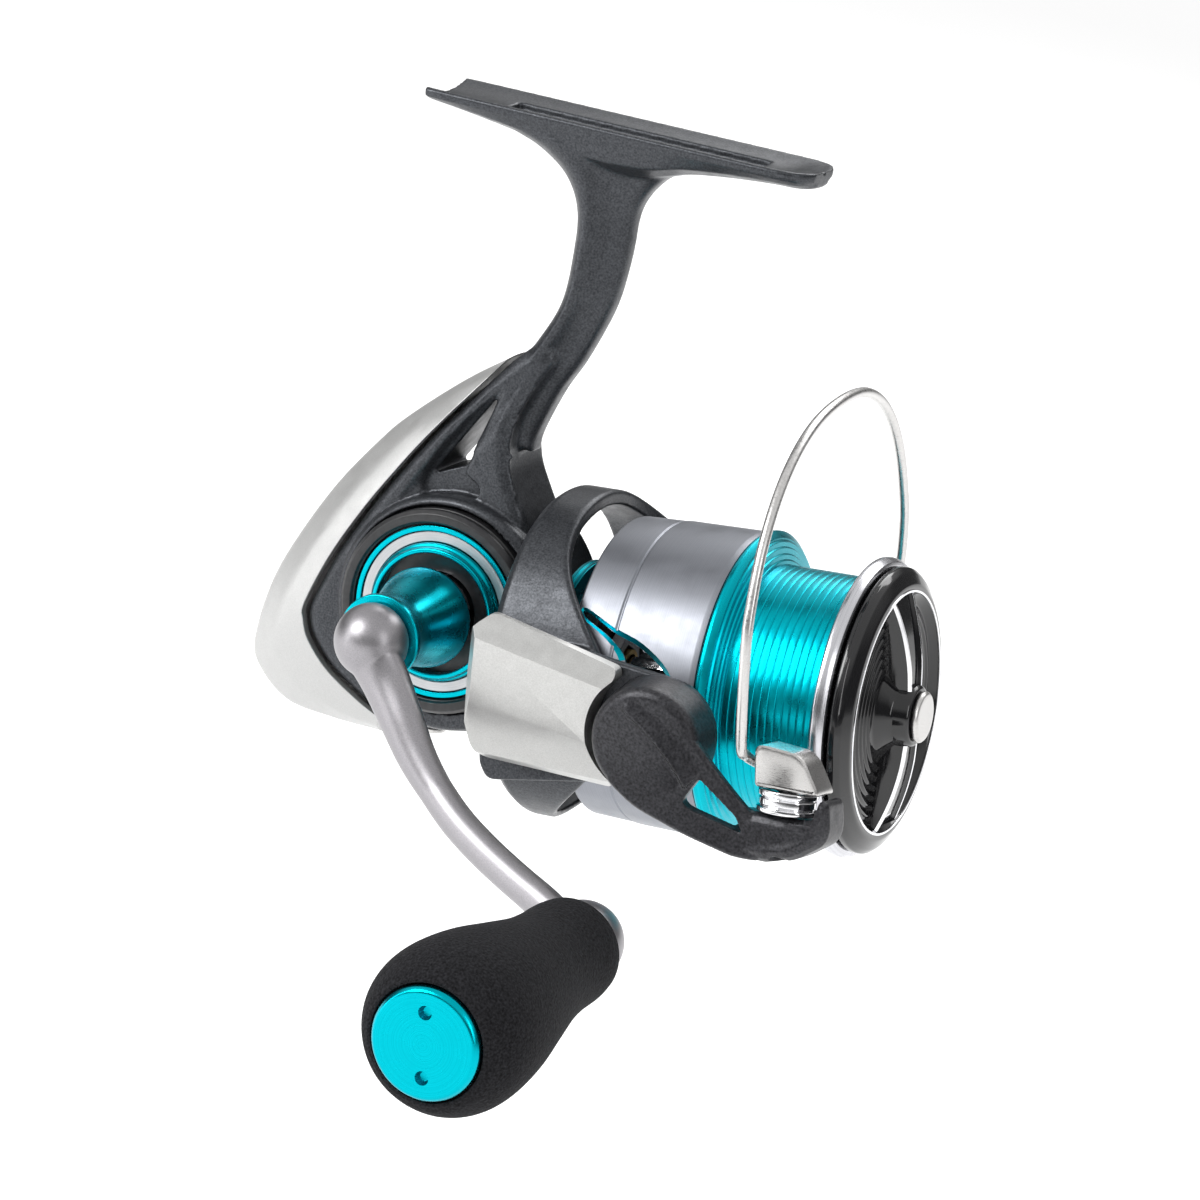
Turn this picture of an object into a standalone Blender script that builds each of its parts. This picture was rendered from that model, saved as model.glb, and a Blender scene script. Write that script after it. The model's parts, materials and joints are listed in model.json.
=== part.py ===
"""Spinning reel, built as separate pieces in Blender.

Lengths are millimetres until MM turns them into metres. The pieces are laid out in the drive
frame: X along the spool's axis towards the spool, Y away from the handle, Z towards the rod, with
the spool's axis through the origin and the handle's axis crossing above it. The empty "reel"
carries that frame to the part's own frame, whose origin lies on the floor of the foot and whose
+Z is the way the foot faces.
"""

import math

import bmesh
import bpy
from mathutils import Matrix, Vector

MM = 0.001

# Driving dimensions
FOOT_TILT = 5.74            # degrees between the rod and the spool's axis
ROTOR_REST = 3.0            # degrees the rotor is turned at rest
GEAR_HEIGHT = 6.4           # the handle's axis above the spool's axis
HANDLE_LENGTH = 56.6        # handle axis to knob axis
HANDLE_DROP = 35.15         # degrees the handle arm points below +X at rest
STROKE = 13.0               # travel of the spool along its axis
LIP_RADIUS = 23.0           # front lip of the spool
ARBOR_RADIUS = 19.4
SKIRT_RADIUS = 23.9
HOOP_RADIUS = 26.6          # outside of the rotor's hoop
SKIRT_PORT = [              # opening in the skirt: place along X, angle from the top
    (28.9, 56.2), (34.2, 62.6), (38.9, 66.8), (43.2, 74.0), (44.8, 82.0), (44.4, 92.0),
    (41.0, 98.0), (38.0, 95.0), (37.2, 84.0), (36.7, 72.0), (33.6, 64.8), (28.9, 58.6),
]
ARM_INNER = 25.2            # inside of the rotor's arms, from the spool's axis
ARM_OUTER = 26.8
COVER_OUTER = 32.0          # outside of the rotor arms' covers
LEVER_OUTER = 34.2          # outside of the bail levers
BAIL_PIVOT_X = 45.4
SHAFT_RADIUS = 1.6
GAP = 0.3                   # clearance between separate pieces

# Gear train
DRIVE_TEETH = 36
PINION_TEETH = 7
OSC_PINION_TEETH = 12
OSC_GEAR_TEETH = 30
OSC_MODULE = 0.6
OSC_GEAR_X = -11.9
OSC_GEAR_Z = 2.3

# Foot, measured along the rod (u), across it (v) and up from the rims (w)
FOOT_CENTRE = (23.5, 83.1)  # drive X and Z of the middle of the foot, at its rims
FOOT_REAR = -31.8
FOOT_FRONT = 31.0
FOOT_HALF_WIDTH = 7.8
FLOOR_DEPTH = 1.2
FLOOR_HALF_WIDTH = 3.4
SEAT_U = -28.2              # the origin's place along the foot

HANDLE_AXIS = Vector((0.0, 0.0, GEAR_HEIGHT))
KNOB_AXIS = HANDLE_AXIS + HANDLE_LENGTH * Vector((
    math.cos(math.radians(HANDLE_DROP)), 0.0, -math.sin(math.radians(HANDLE_DROP))))
OSC_AXIS = Vector((OSC_GEAR_X, 0.0, OSC_GEAR_Z))
BAIL_AXIS = Vector((BAIL_PIVOT_X, 0.0, 0.0))
ROLLER_CENTRE = Vector((67.6, -31.5, -5.3))
ROLLER_LEAN = math.radians(11.5)
ROLLER_AXIS = Vector((0.0, math.sin(ROLLER_LEAN), math.cos(ROLLER_LEAN)))

AXES = {'X': (1.0, 0.0, 0.0), 'Y': (0.0, 1.0, 0.0), 'Z': (0.0, 0.0, 1.0)}

FINISHES = {
    "black_paint": ((0.035, 0.037, 0.042), 0.45, 0.6),
    "black_plastic": ((0.02, 0.02, 0.022), 0.5, 0.0),
    "pearl_silver": ((0.72, 0.72, 0.71), 0.35, 0.5),
    "satin_silver": ((0.62, 0.62, 0.62), 0.3, 1.0),
    "cyan_anodised": ((0.0, 0.5, 0.62), 0.25, 1.0),
    "grey_anodised": ((0.42, 0.43, 0.46), 0.3, 1.0),
    "gunmetal": ((0.36, 0.34, 0.34), 0.35, 1.0),
    "polished_steel": ((0.8, 0.8, 0.82), 0.1, 1.0),
    "brass": ((0.72, 0.52, 0.22), 0.3, 1.0),
    "zinc": ((0.55, 0.56, 0.58), 0.4, 1.0),
    "felt": ((0.25, 0.24, 0.2), 0.9, 0.0),
    "foam": ((0.015, 0.015, 0.016), 0.95, 0.0),
}


# ---------------------------------------------------------------------------
# Scene helpers
# ---------------------------------------------------------------------------

def clear_scene():
    for old in list(bpy.data.objects):
        bpy.data.objects.remove(old, do_unlink=True)


def finish_material(name):
    """The finish's Principled material, made once."""
    known = bpy.data.materials.get(name)
    if known:
        return known
    colour, roughness, metallic = FINISHES[name]
    made = bpy.data.materials.new(name)
    made.use_nodes = True
    shader = made.node_tree.nodes["Principled BSDF"]
    shader.inputs["Base Color"].default_value = (*colour, 1.0)
    shader.inputs["Roughness"].default_value = roughness
    shader.inputs["Metallic"].default_value = metallic
    return made


def make_pivot(name, parent, at=(0.0, 0.0, 0.0)):
    """An empty on a joint's axis; "at" is in millimetres in the frame its pieces are drawn in."""
    empty = bpy.data.objects.new(name, None)
    bpy.context.scene.collection.objects.link(empty)
    empty.empty_display_size = 5 * MM
    empty["at"] = tuple(at)
    if parent:
        empty.parent = parent
        empty.location = (Vector(at) - Vector(parent["at"])) * MM
    return empty


def place(name, bm, pivot, finish, sharp=35.0):
    """Turns a mesh drawn in millimetres into a named object under its pivot."""
    bmesh.ops.recalc_face_normals(bm, faces=bm.faces)
    bmesh.ops.transform(bm, matrix=Matrix.Translation(-Vector(pivot["at"])), verts=bm.verts)
    bmesh.ops.scale(bm, vec=(MM, MM, MM), verts=bm.verts)
    mesh = bpy.data.meshes.new(name)
    bm.to_mesh(mesh)
    bm.free()
    mesh.shade_smooth()
    mesh.set_sharp_from_angle(angle=math.radians(sharp))
    made = bpy.data.objects.new(name, mesh)
    made.data.materials.append(finish_material(finish))
    made.parent = pivot
    bpy.context.scene.collection.objects.link(made)
    return made


def combine(target, other_mesh, operation):
    """Adds another mesh to an object, or cuts it away, with a Boolean on a hidden guide."""
    pivot = target.parent
    name = f"{target.name}.{operation.lower()}{len(target.modifiers)}"
    guide = place(name, other_mesh, pivot, target.data.materials[0].name)
    guide.hide_render = True
    guide.display_type = 'WIRE'
    change = target.modifiers.new(operation.title(), 'BOOLEAN')
    change.operation = operation
    change.solver = 'EXACT'
    change.object = guide


def add(target, *meshes):
    for mesh in meshes:
        combine(target, mesh, 'UNION')


def cut(target, *meshes):
    for mesh in meshes:
        combine(target, mesh, 'DIFFERENCE')


# ---------------------------------------------------------------------------
# Shapes, all in millimetres
# ---------------------------------------------------------------------------

def turned(profile, axis='X', centre=(0.0, 0.0, 0.0), steps=32):
    """A solid of revolution. The profile is (distance along the axis, radius) pairs; one that
    starts and ends on the axis stays open there, any other closes into a ring."""
    along = Vector(AXES[axis] if isinstance(axis, str) else axis).normalized()
    out = Vector((0, 0, 1)) if abs(along.z) < 0.9 else Vector((1, 0, 0))
    out = (out - along * out.dot(along)).normalized()
    centre = Vector(centre)
    bm = bmesh.new()
    points = [bm.verts.new(centre + along * distance + out * radius) for distance, radius in profile]
    edges = [bm.edges.new(pair) for pair in zip(points, points[1:])]
    if profile[0][1] > 0:
        edges.append(bm.edges.new((points[-1], points[0])))
    bmesh.ops.spin(bm, geom=points + edges, cent=centre, axis=along, angle=2 * math.pi,
                   steps=steps, use_merge=True)
    bmesh.ops.remove_doubles(bm, verts=bm.verts, dist=0.0005)
    return bm


def tube(start, end, outer, inner, axis='X', centre=(0.0, 0.0, 0.0), steps=24, chamfer=0.0):
    """A plain ring, with its outer edges chamfered if asked."""
    profile = [(start, inner), (start, outer - chamfer), (start + chamfer, outer),
               (end - chamfer, outer), (end, outer - chamfer), (end, inner)]
    if not chamfer:
        profile = [(start, inner), (start, outer), (end, outer), (end, inner)]
    return turned(profile, axis, centre, steps)


def rod(start, end, radius, axis='X', centre=(0.0, 0.0, 0.0), steps=20):
    return turned([(start, 0.0), (start, radius), (end, radius), (end, 0.0)], axis, centre, steps)


def box(low, high):
    bm = bmesh.new()
    bmesh.ops.create_cube(bm, size=1.0)
    low, high = Vector(low), Vector(high)
    bmesh.ops.scale(bm, vec=high - low, verts=bm.verts)
    bmesh.ops.translate(bm, vec=(low + high) / 2, verts=bm.verts)
    return bm


def loft(sections, loop=False):
    """Skins a row of rings, each a list of points, and caps its ends unless it is a loop."""
    bm = bmesh.new()
    rings = [[bm.verts.new(point) for point in section] for section in sections]
    pairs = list(zip(rings, rings[1:]))
    if loop:
        pairs.append((rings[-1], rings[0]))
    for first, second in pairs:
        for i in range(len(first)):
            j = (i + 1) % len(first)
            bm.faces.new((first[i], first[j], second[j], second[i]))
    if not loop:
        bm.faces.new(rings[0])
        bm.faces.new(rings[-1])
    return bm


def inset(outline, amount):
    """The outline moved inwards by an amount, corner by corner. Outlines run anticlockwise."""
    moved = []
    for i, corner in enumerate(outline):
        before = Vector(outline[i - 1])
        here = Vector(corner)
        after = Vector(outline[(i + 1) % len(outline)])
        in_dir = (here - before).normalized()
        out_dir = (after - here).normalized()
        normal = Vector((-in_dir.y - out_dir.y, in_dir.x + out_dir.x))
        scale = 2.0 * amount / max(normal.length_squared, 0.8)
        moved.append(tuple(here + normal * scale))
    return moved


def plate(outline, low, high, chamfer=0.0):
    """An outline in X and Z, extruded along Y between two levels, with chamfered rims."""
    levels = [(low, 0.0), (high, 0.0)]
    if chamfer:
        levels = [(low, chamfer), (low + chamfer, 0.0), (high - chamfer, 0.0), (high, chamfer)]
    sections = []
    for level, amount in levels:
        ring = inset(outline, amount) if amount else outline
        sections.append([Vector((x, level, z)) for x, z in ring])
    return loft(sections)


def arc(centre_x, centre_z, radius, start, end, steps):
    """Points on an arc in X and Z, angles in degrees from +X towards +Z."""
    angles = [math.radians(start + (end - start) * i / steps) for i in range(steps + 1)]
    return [(centre_x + radius * math.cos(a), centre_z + radius * math.sin(a)) for a in angles]


def lean(bm, slope, about_y):
    """Slants a mesh so that its level faces drop by the slope for each millimetre of Y."""
    for vert in bm.verts:
        vert.co.z -= slope * (vert.co.y - about_y)
    return bm


def wire(name, points, radius, pivot, finish, sides=2):
    """A round wire through a list of points, as a curve with a bevel and filled caps."""
    curve = bpy.data.curves.new(name, 'CURVE')
    curve.dimensions = '3D'
    curve.bevel_depth = radius * MM
    curve.bevel_resolution = sides
    curve.use_fill_caps = True
    spline = curve.splines.new('POLY')
    spline.points.add(len(points) - 1)
    for target, point in zip(spline.points, points):
        target.co = (*((Vector(point) - Vector(pivot["at"])) * MM), 1.0)
    made = bpy.data.objects.new(name, curve)
    curve.materials.append(finish_material(finish))
    made.parent = pivot
    bpy.context.scene.collection.objects.link(made)
    return made


def smooth_path(points, per_span):
    """A Catmull-Rom curve through the points."""
    points = [Vector(p) for p in points]
    padded = [2 * points[0] - points[1]] + points + [2 * points[-1] - points[-2]]
    path = []
    for i in range(len(points) - 1):
        a, b, c, d = padded[i:i + 4]
        for step in range(per_span):
            t = step / per_span
            path.append(0.5 * (2 * b + (c - a) * t + (2 * a - 5 * b + 4 * c - d) * t * t
                               + (3 * b - a - 3 * c + d) * t ** 3))
    path.append(points[-1])
    return path


def toothed_disc(teeth, root, tip, low, high, bore, axis_at, axis='Y'):
    """A spur gear about Y or X, with straight tapered teeth and a bore."""
    outer = []
    for tooth in range(teeth):
        for share, radius in ((-0.28, root), (0.0, tip), (0.28, root)):
            outer.append((2 * math.pi * (tooth + share) / teeth, radius))
    centre = Vector(axis_at)

    def ring(level, points):
        placed = []
        for angle, radius in points:
            across = radius * math.cos(angle)
            up = radius * math.sin(angle)
            offset = Vector((across, level, up)) if axis == 'Y' else Vector((level, across, up))
            placed.append(centre + offset)
        return placed

    inner = [(angle, bore) for angle, _ in outer]
    return loft([ring(low, inner), ring(low, outer), ring(high, outer), ring(high, inner)],
                loop=True)


# ---------------------------------------------------------------------------
# Body: foot, stem, housing and what is fixed in it
# ---------------------------------------------------------------------------

BODY_OUTLINE = [
    (13.0, 43.5), (9.0, 46.6), (6.8, 45.4), (1.6, 39.4), (-4.7, 32.4), (-9.0, 27.2),
    (-14.6, 19.9), (-20.2, 11.4), (-24.3, 3.1), (-24.4, 0.5), (-23.4, -2.6), (-20.0, -6.8),
    (-14.6, -10.7), (-10.7, -12.9), (-1.0, -14.1), (6.0, -13.2), (14.0, -7.0), (16.0, 8.0),
    (13.0, 20.0), (10.2, 26.0), (8.9, 29.0), (8.5, 33.0), (9.2, 37.0), (10.8, 40.4),
]
GUARD_RIDGE = [
    (4.2, 46.4), (-2.0, 41.4), (-11.4, 33.9), (-16.6, 28.9), (-22.9, 21.7), (-28.9, 13.0),
    (-33.3, 5.0), (-36.0, -3.7), (-35.9, -9.2), (-30.4, -14.8), (-22.0, -16.5), (-12.6, -17.2),
]
HOUSING_CENTRE = (0.5, 0.0, 5.6)
HOUSING_RADIUS = 18.6
HOUSING_HALF = 9.8
WEB_HALF = 7.4
PLATE_SEAT_RADIUS = 16.4


def foot_point(u, v, w):
    """A point of the foot in the drive frame."""
    tilt = math.radians(FOOT_TILT)
    x = FOOT_CENTRE[0] + u * math.cos(tilt) + w * math.sin(tilt)
    z = FOOT_CENTRE[1] - u * math.sin(tilt) + w * math.cos(tilt)
    return Vector((x, v, z))


def foot_section(u, half, thick, depth):
    side = half - 1.4
    floor = min(FLOOR_HALF_WIDTH, side - 0.2)
    right = [(floor, -depth), (side, -0.05), (half - 0.6, 0.0), (half, -0.8),
             (half - 1.3, -0.72 * thick), (0.34 * half, -thick)]
    left = [(-v, w) for v, w in reversed(right)]
    return [foot_point(u, v, w) for v, w in right + left]


def make_foot():
    """The foot lofted along the rod: place, half width, thickness and depth of its channel."""
    full = FOOT_HALF_WIDTH
    stations = [
        (FOOT_REAR, full - 0.3, 2.5, FLOOR_DEPTH), (-26.0, full, 3.0, FLOOR_DEPTH),
        (-17.0, full, 4.2, FLOOR_DEPTH), (-8.0, full, 6.2, FLOOR_DEPTH),
        (4.0, full, 7.0, FLOOR_DEPTH), (11.0, full, 4.6, FLOOR_DEPTH),
        (18.0, full, 3.6, FLOOR_DEPTH), (24.6, full, 3.0, FLOOR_DEPTH),
        (28.2, full - 0.5, 3.0, 0.5), (30.0, full - 1.9, 2.8, 0.3),
        (FOOT_FRONT, full - 4.0, 2.4, 0.2),
    ]
    return loft([foot_section(*station) for station in stations])


def make_stem():
    """The stem from the body up into the foot: back edge, front edge and half width."""
    stations = [
        ((3.6, 37.2), (10.4, 34.0), 6.0), ((7.6, 43.6), (14.0, 41.2), 5.7),
        ((11.0, 48.4), (17.6, 46.6), 5.2), ((14.4, 55.5), (22.2, 55.8), 4.8),
        ((16.0, 63.4), (24.6, 63.8), 4.6), ((16.0, 70.0), (25.4, 70.6), 4.7),
        ((13.4, 75.6), (28.4, 75.0), 5.4), ((8.6, 79.4), (33.0, 77.8), 6.4),
    ]
    shape = [(0.0, 0.4), (0.22, 1.0), (0.75, 1.0), (1.0, 0.45)]
    shape += [(t, -w) for t, w in reversed(shape)]
    sections = []
    for back, front, half in stations:
        sections.append([Vector((back[0] + (front[0] - back[0]) * t, half * w,
                                 back[1] + (front[1] - back[1]) * t)) for t, w in shape])
    return loft(sections)


def make_body(reel):
    body = place("body_frame", plate(BODY_OUTLINE, -WEB_HALF, WEB_HALF, 1.8), reel, "black_paint")
    housing = turned([(-HOUSING_HALF, 0.0), (-HOUSING_HALF, HOUSING_RADIUS - 0.8),
                      (-HOUSING_HALF + 0.8, HOUSING_RADIUS), (HOUSING_HALF - 0.8, HOUSING_RADIUS),
                      (HOUSING_HALF, HOUSING_RADIUS - 0.8), (HOUSING_HALF, 0.0)],
                     'Y', HOUSING_CENTRE, 40)
    neck = rod(6.0, 21.9, 9.6, steps=32)
    add(body, housing, neck, make_stem(), make_foot())

    window = [(6.0, 40.2), (-5.2, 25.8), (1.4, 28.6)]
    rear_pocket = [(-22.6, 3.0), (-18.9, 11.2), (-12.6, 18.0), (0.0, 19.0), (0.0, -9.0),
                   (-10.0, -10.4), (-17.8, -6.6), (-21.7, -2.0)]
    gear_chamber = turned([(-12.0, 0.0), (-12.0, PLATE_SEAT_RADIUS), (-8.4, PLATE_SEAT_RADIUS),
                           (-8.4, 15.6), (7.6, 15.6), (7.6, 6.3), (11.0, 6.3), (11.0, 0.0)],
                          'Y', HANDLE_AXIS, 36)
    neck_bore = rod(9.0, 24.0, 7.1, steps=32)
    cut(body, plate(rear_pocket, -5.4, 6.6), gear_chamber, neck_bore, plate(window, -12.0, 12.0))
    pocket = loft([[foot_point(u, v, w) for u, v in ((-20.5, -2.3), (21.5, -2.3),
                                                     (21.5, 2.3), (-20.5, 2.3))]
                   for w in (-2.6, 1.0)])
    cut(body, pocket)
    bracket = box((4.8, -3.1, -7.8), (7.8, 7.9, 0.6))
    add(body, bracket)
    cut(body, rod(4.0, 8.5, 3.2))


def make_guard(reel):
    """The cover over the back of the body: a folded shell that follows the body's edge."""
    wall = 1.5
    rims = inset(BODY_OUTLINE, -1.2 * GAP)[2:14]
    sections = []
    for i, (rim, ridge) in enumerate(zip(rims, GUARD_RIDGE)):
        rim, ridge = Vector(rim), Vector(ridge)
        depth = ridge - rim
        inward = -depth.normalized()
        crease = rim + 0.5 * depth
        half = 5.0 if i == 0 else 7.3
        hollow_ridge = ridge + inward * min(wall, 0.4 * depth.length)
        hollow_crease = crease + inward * min(0.6, 0.2 * depth.length)
        outside = [(rim, half), (crease, 0.78 * half), (ridge, 0.3 * half)]
        inside = [(hollow_ridge, 0.16 * half), (hollow_crease, 0.78 * half - wall),
                  (rim, half - wall)]
        loop = outside + [(p, -y) for p, y in reversed(outside)]
        loop += [(p, -y) for p, y in reversed(inside)] + inside
        sections.append([Vector((p.x, y, p.y)) for p, y in loop])
    place("rear_guard", loft(sections), reel, "pearl_silver")


def make_housing_parts(reel):
    gear = HANDLE_AXIS
    cover = [(-8.7, 6.3), (-8.7, 16.1), (-11.6, 16.1), (-12.2, 15.5), (-12.2, 14.2),
             (-10.4, 13.9), (-10.4, 6.3)]
    place("engine_plate", turned(cover, 'Y', gear, 32), reel, "black_plastic")
    place("trim_ring_outer", tube(-11.4, -10.7, 13.6, 12.8, 'Y', gear, 32), reel, "cyan_anodised")
    place("trim_band", tube(-11.2, -10.7, 12.5, 11.2, 'Y', gear, 32), reel, "satin_silver")
    inner = [(-10.7, 9.6), (-10.7, 10.9), (-12.2, 10.9), (-12.9, 10.4), (-12.9, 9.6)]
    place("trim_ring_inner", turned(inner, 'Y', gear, 32), reel, "cyan_anodised")
    place("gear_bearing_near", tube(-11.6, -8.8, 6.0, 3.3, 'Y', gear), reel, "polished_steel")
    place("gear_bearing_far", tube(7.8, 9.7, 6.0, 3.3, 'Y', gear), reel, "polished_steel")
    cap = [(10.1, 0.0), (10.1, 8.6), (11.6, 8.6), (12.4, 7.4), (12.4, 0.0)]
    place("socket_cap", turned(cap, 'Y', gear, 28), reel, "black_plastic")
    seal = [(19.5, 9.9), (19.5, 14.6), (20.4, 15.4), (21.9, 15.4), (21.9, 9.9)]
    place("seal_ring", turned(seal, 'X', steps=32), reel, "cyan_anodised")
    place("front_bearing", tube(15.4, 17.2, 6.8, 3.2), reel, "polished_steel")
    place("one_way_clutch", tube(17.5, 21.6, 6.8, 4.0), reel, "zinc")
    place("pinion_bush", tube(5.0, 7.6, 2.9, 2.5), reel, "brass")
    place("guide_rod", rod(-20.4, -3.6, 0.9, centre=(0, 0, 5.6), steps=12), reel, "polished_steel")
    place("osc_post", rod(4.3, 6.3, 1.2, 'Y', OSC_AXIS, 12), reel, "polished_steel")
    screw = [(0.0, 0.0), (0.0, 2.1), (-0.8, 1.9), (-0.8, 0.0)]
    place("guard_screw", turned(screw, 'Z', (-4.5, 0.0, -15.2), 16), reel, "polished_steel")


# ---------------------------------------------------------------------------
# Handle, its knob and the gears it turns
# ---------------------------------------------------------------------------

KNOB_INNER = -56.9
KNOB_OUTER = -104.0


def make_drive_gear(handle):
    """Face gear on a hollow shaft, with the small gear that turns the spool's oscillation."""
    disc = turned([(-12.2, 2.2), (-12.2, 3.0), (-7.9, 3.0), (-7.9, 15.0), (-5.6, 15.0),
                   (-5.6, 3.0), (9.6, 3.0), (9.6, 2.2)], 'Y', HANDLE_AXIS, 24)
    gear = place("drive_gear", disc, handle, "zinc")
    rings = []
    for tooth in range(DRIVE_TEETH):
        for share, height in ((-0.25, -5.4), (0.25, -3.6)):
            angle = 2 * math.pi * (tooth + share) / DRIVE_TEETH
            out = Vector((math.cos(angle), 0.0, math.sin(angle)))
            shape = ((11.2, -6.5), (14.8, -6.5), (14.8, height), (11.2, height))
            rings.append([HANDLE_AXIS + out * radius + Vector((0, y, 0)) for radius, y in shape])
    pitch = OSC_MODULE * OSC_PINION_TEETH / 2
    small = toothed_disc(OSC_PINION_TEETH, pitch - 0.5, pitch + 0.1, 4.0, 6.0, 2.6, HANDLE_AXIS)
    add(gear, loft(rings, loop=True), small)


def make_handle(handle):
    make_drive_gear(handle)
    shank = [(-12.6, 2.2), (-12.6, 6.4), (-14.2, 6.6), (-14.6, 7.6), (-15.4, 7.9), (-18.4, 7.1),
             (-22.0, 6.0), (-25.0, 5.35), (-27.5, 5.45), (-29.0, 6.1), (-29.6, 6.6), (-30.5, 6.6),
             (-30.5, 2.2)]
    place("handle_shank", turned(shank, 'Y', HANDLE_AXIS, 28), handle, "cyan_anodised")
    place("handle_bolt", rod(-30.5, 8.5, 1.9, 'Y', HANDLE_AXIS, 16), handle, "polished_steel")
    make_handle_arm(handle)
    place("knob_spindle", rod(-102.4, -56.6, 1.9, 'Y', KNOB_AXIS, 16), handle, "polished_steel")


ARM_PATH = [                # the handle arm's centre line
    (0.4, -34.2, 5.6), (3.8, -34.9, 1.2), (7.9, -36.9, -4.0), (11.4, -38.6, -8.4),
    (15.6, -40.4, -12.3), (20.5, -42.7, -15.7), (26.2, -45.3, -18.4), (32.1, -47.9, -20.6),
    (37.9, -50.3, -22.6), (43.0, -52.4, -24.8), (46.3, -53.6, -26.2),
]


def make_handle_arm(handle):
    centre, radius = -32.6, 5.7
    head = [(-30.8, 0.0)]
    for degrees in (72, 90, 108, 126, 144, 162):
        angle = math.radians(degrees)
        head.append((centre + radius * math.cos(angle), radius * math.sin(angle)))
    head.append((centre - radius, 0.0))
    arm = place("handle_arm", turned(head, 'Y', HANDLE_AXIS, 28), handle, "gunmetal")
    path = [Vector(point) for point in ARM_PATH]
    sections = []
    for i, centre in enumerate(path):
        share = i / (len(path) - 1)
        ahead = (path[min(i + 1, len(path) - 1)] - path[max(i - 1, 0)]).normalized()
        outward = Vector((0.0, 1.0, 0.0))
        outward = (outward - ahead * outward.dot(ahead)).normalized()
        across = ahead.cross(outward)
        wide = 4.3 - 1.6 * min(1.0, share / 0.4) + 1.6 * max(0.0, share - 0.75)
        thick = 3.2 - 0.8 * min(1.0, share / 0.4)
        ring = []
        for corner in range(12):
            angle = 2 * math.pi * corner / 12
            ring.append(centre + across * wide * math.cos(angle) + outward * thick * math.sin(angle))
        sections.append(ring)
    boss = [(-47.4, 0.0), (-48.0, 2.8), (-49.4, 4.7), (-51.4, 5.8), (-53.6, 6.2), (-55.6, 6.0),
            (-56.3, 5.2), (-56.3, 0.0)]
    add(arm, loft(sections), turned(boss, 'Y', KNOB_AXIS, 24))


def make_knob(knob):
    grip = [(KNOB_INNER, 5.2), (KNOB_INNER, 6.9), (-57.8, 7.7), (-60.5, 8.0), (-66.0, 8.1),
            (-72.0, 8.7), (-80.0, 10.2), (-88.0, 11.7), (-95.0, 12.3), (-99.5, 11.8),
            (-102.8, 10.2), (KNOB_OUTER, 8.9), (KNOB_OUTER, 8.4), (-102.8, 8.4), (-102.8, 5.2)]
    place("knob_grip", turned(grip, 'Y', KNOB_AXIS, 24), knob, "foam")
    place("knob_core", tube(-102.4, -57.6, 4.9, 3.9, 'Y', KNOB_AXIS, 20), knob, "black_plastic")
    place("knob_bearing_inner", tube(-60.8, -58.4, 3.6, 2.2, 'Y', KNOB_AXIS, 20), knob,
          "polished_steel")
    place("knob_bearing_outer", tube(-101.4, -99.0, 3.6, 2.2, 'Y', KNOB_AXIS, 20), knob,
          "polished_steel")
    cap = [(-103.1, 0.0), (-103.1, 8.05), (-104.6, 8.05), (-105.1, 7.6), (-105.1, 0.0)]
    place("knob_end_cap", turned(cap, 'Y', KNOB_AXIS, 28), knob, "cyan_anodised")


def make_osc_gear(osc):
    pitch = OSC_MODULE * OSC_GEAR_TEETH / 2
    gear = toothed_disc(OSC_GEAR_TEETH, pitch - 1.0, pitch - 0.3, 4.0, 6.0, 1.5, OSC_AXIS)
    wheel = place("osc_gear", gear, osc, "brass")
    pin_centre = OSC_AXIS - Vector((STROKE / 2, 0, 0))
    add(wheel, rod(3.2, 4.5, 1.0, 'Y', pin_centre, 12))


# ---------------------------------------------------------------------------
# Rotor and bail, drawn in the rotor's own frame with its arms along Y
# ---------------------------------------------------------------------------

def make_pinion(rotor):
    teeth = toothed_disc(PINION_TEETH, 2.3, 3.1, 8.8, 13.9, 1.9, (0, 0, 0), axis='X')
    pinion = place("pinion_gear", teeth, rotor, "brass")
    shaft = [(4.6, 1.9), (4.6, 2.2), (8.9, 2.2), (8.9, 2.25), (13.8, 2.25), (13.8, 2.9),
             (22.0, 2.9), (22.0, 2.6), (28.6, 2.6), (28.6, 1.9)]
    add(pinion, turned(shaft, 'X', steps=20))
    place("clutch_sleeve", tube(17.5, 21.8, 3.7, 3.2, steps=20), rotor, "polished_steel")


def arm_outline(rear, half_rear, half_front, nose):
    """A rotor arm seen along Y: square at the back, round about the bail's pivot."""
    return ([(rear + 1.5, -half_rear), (BAIL_PIVOT_X - 8.0, -half_front)]
            + arc(BAIL_PIVOT_X, 0.0, nose, -75, 75, 10)
            + [(BAIL_PIVOT_X - 8.0, half_front), (rear + 1.5, half_rear), (rear, half_rear - 2.5),
               (rear, -half_rear + 2.5)])


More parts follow.
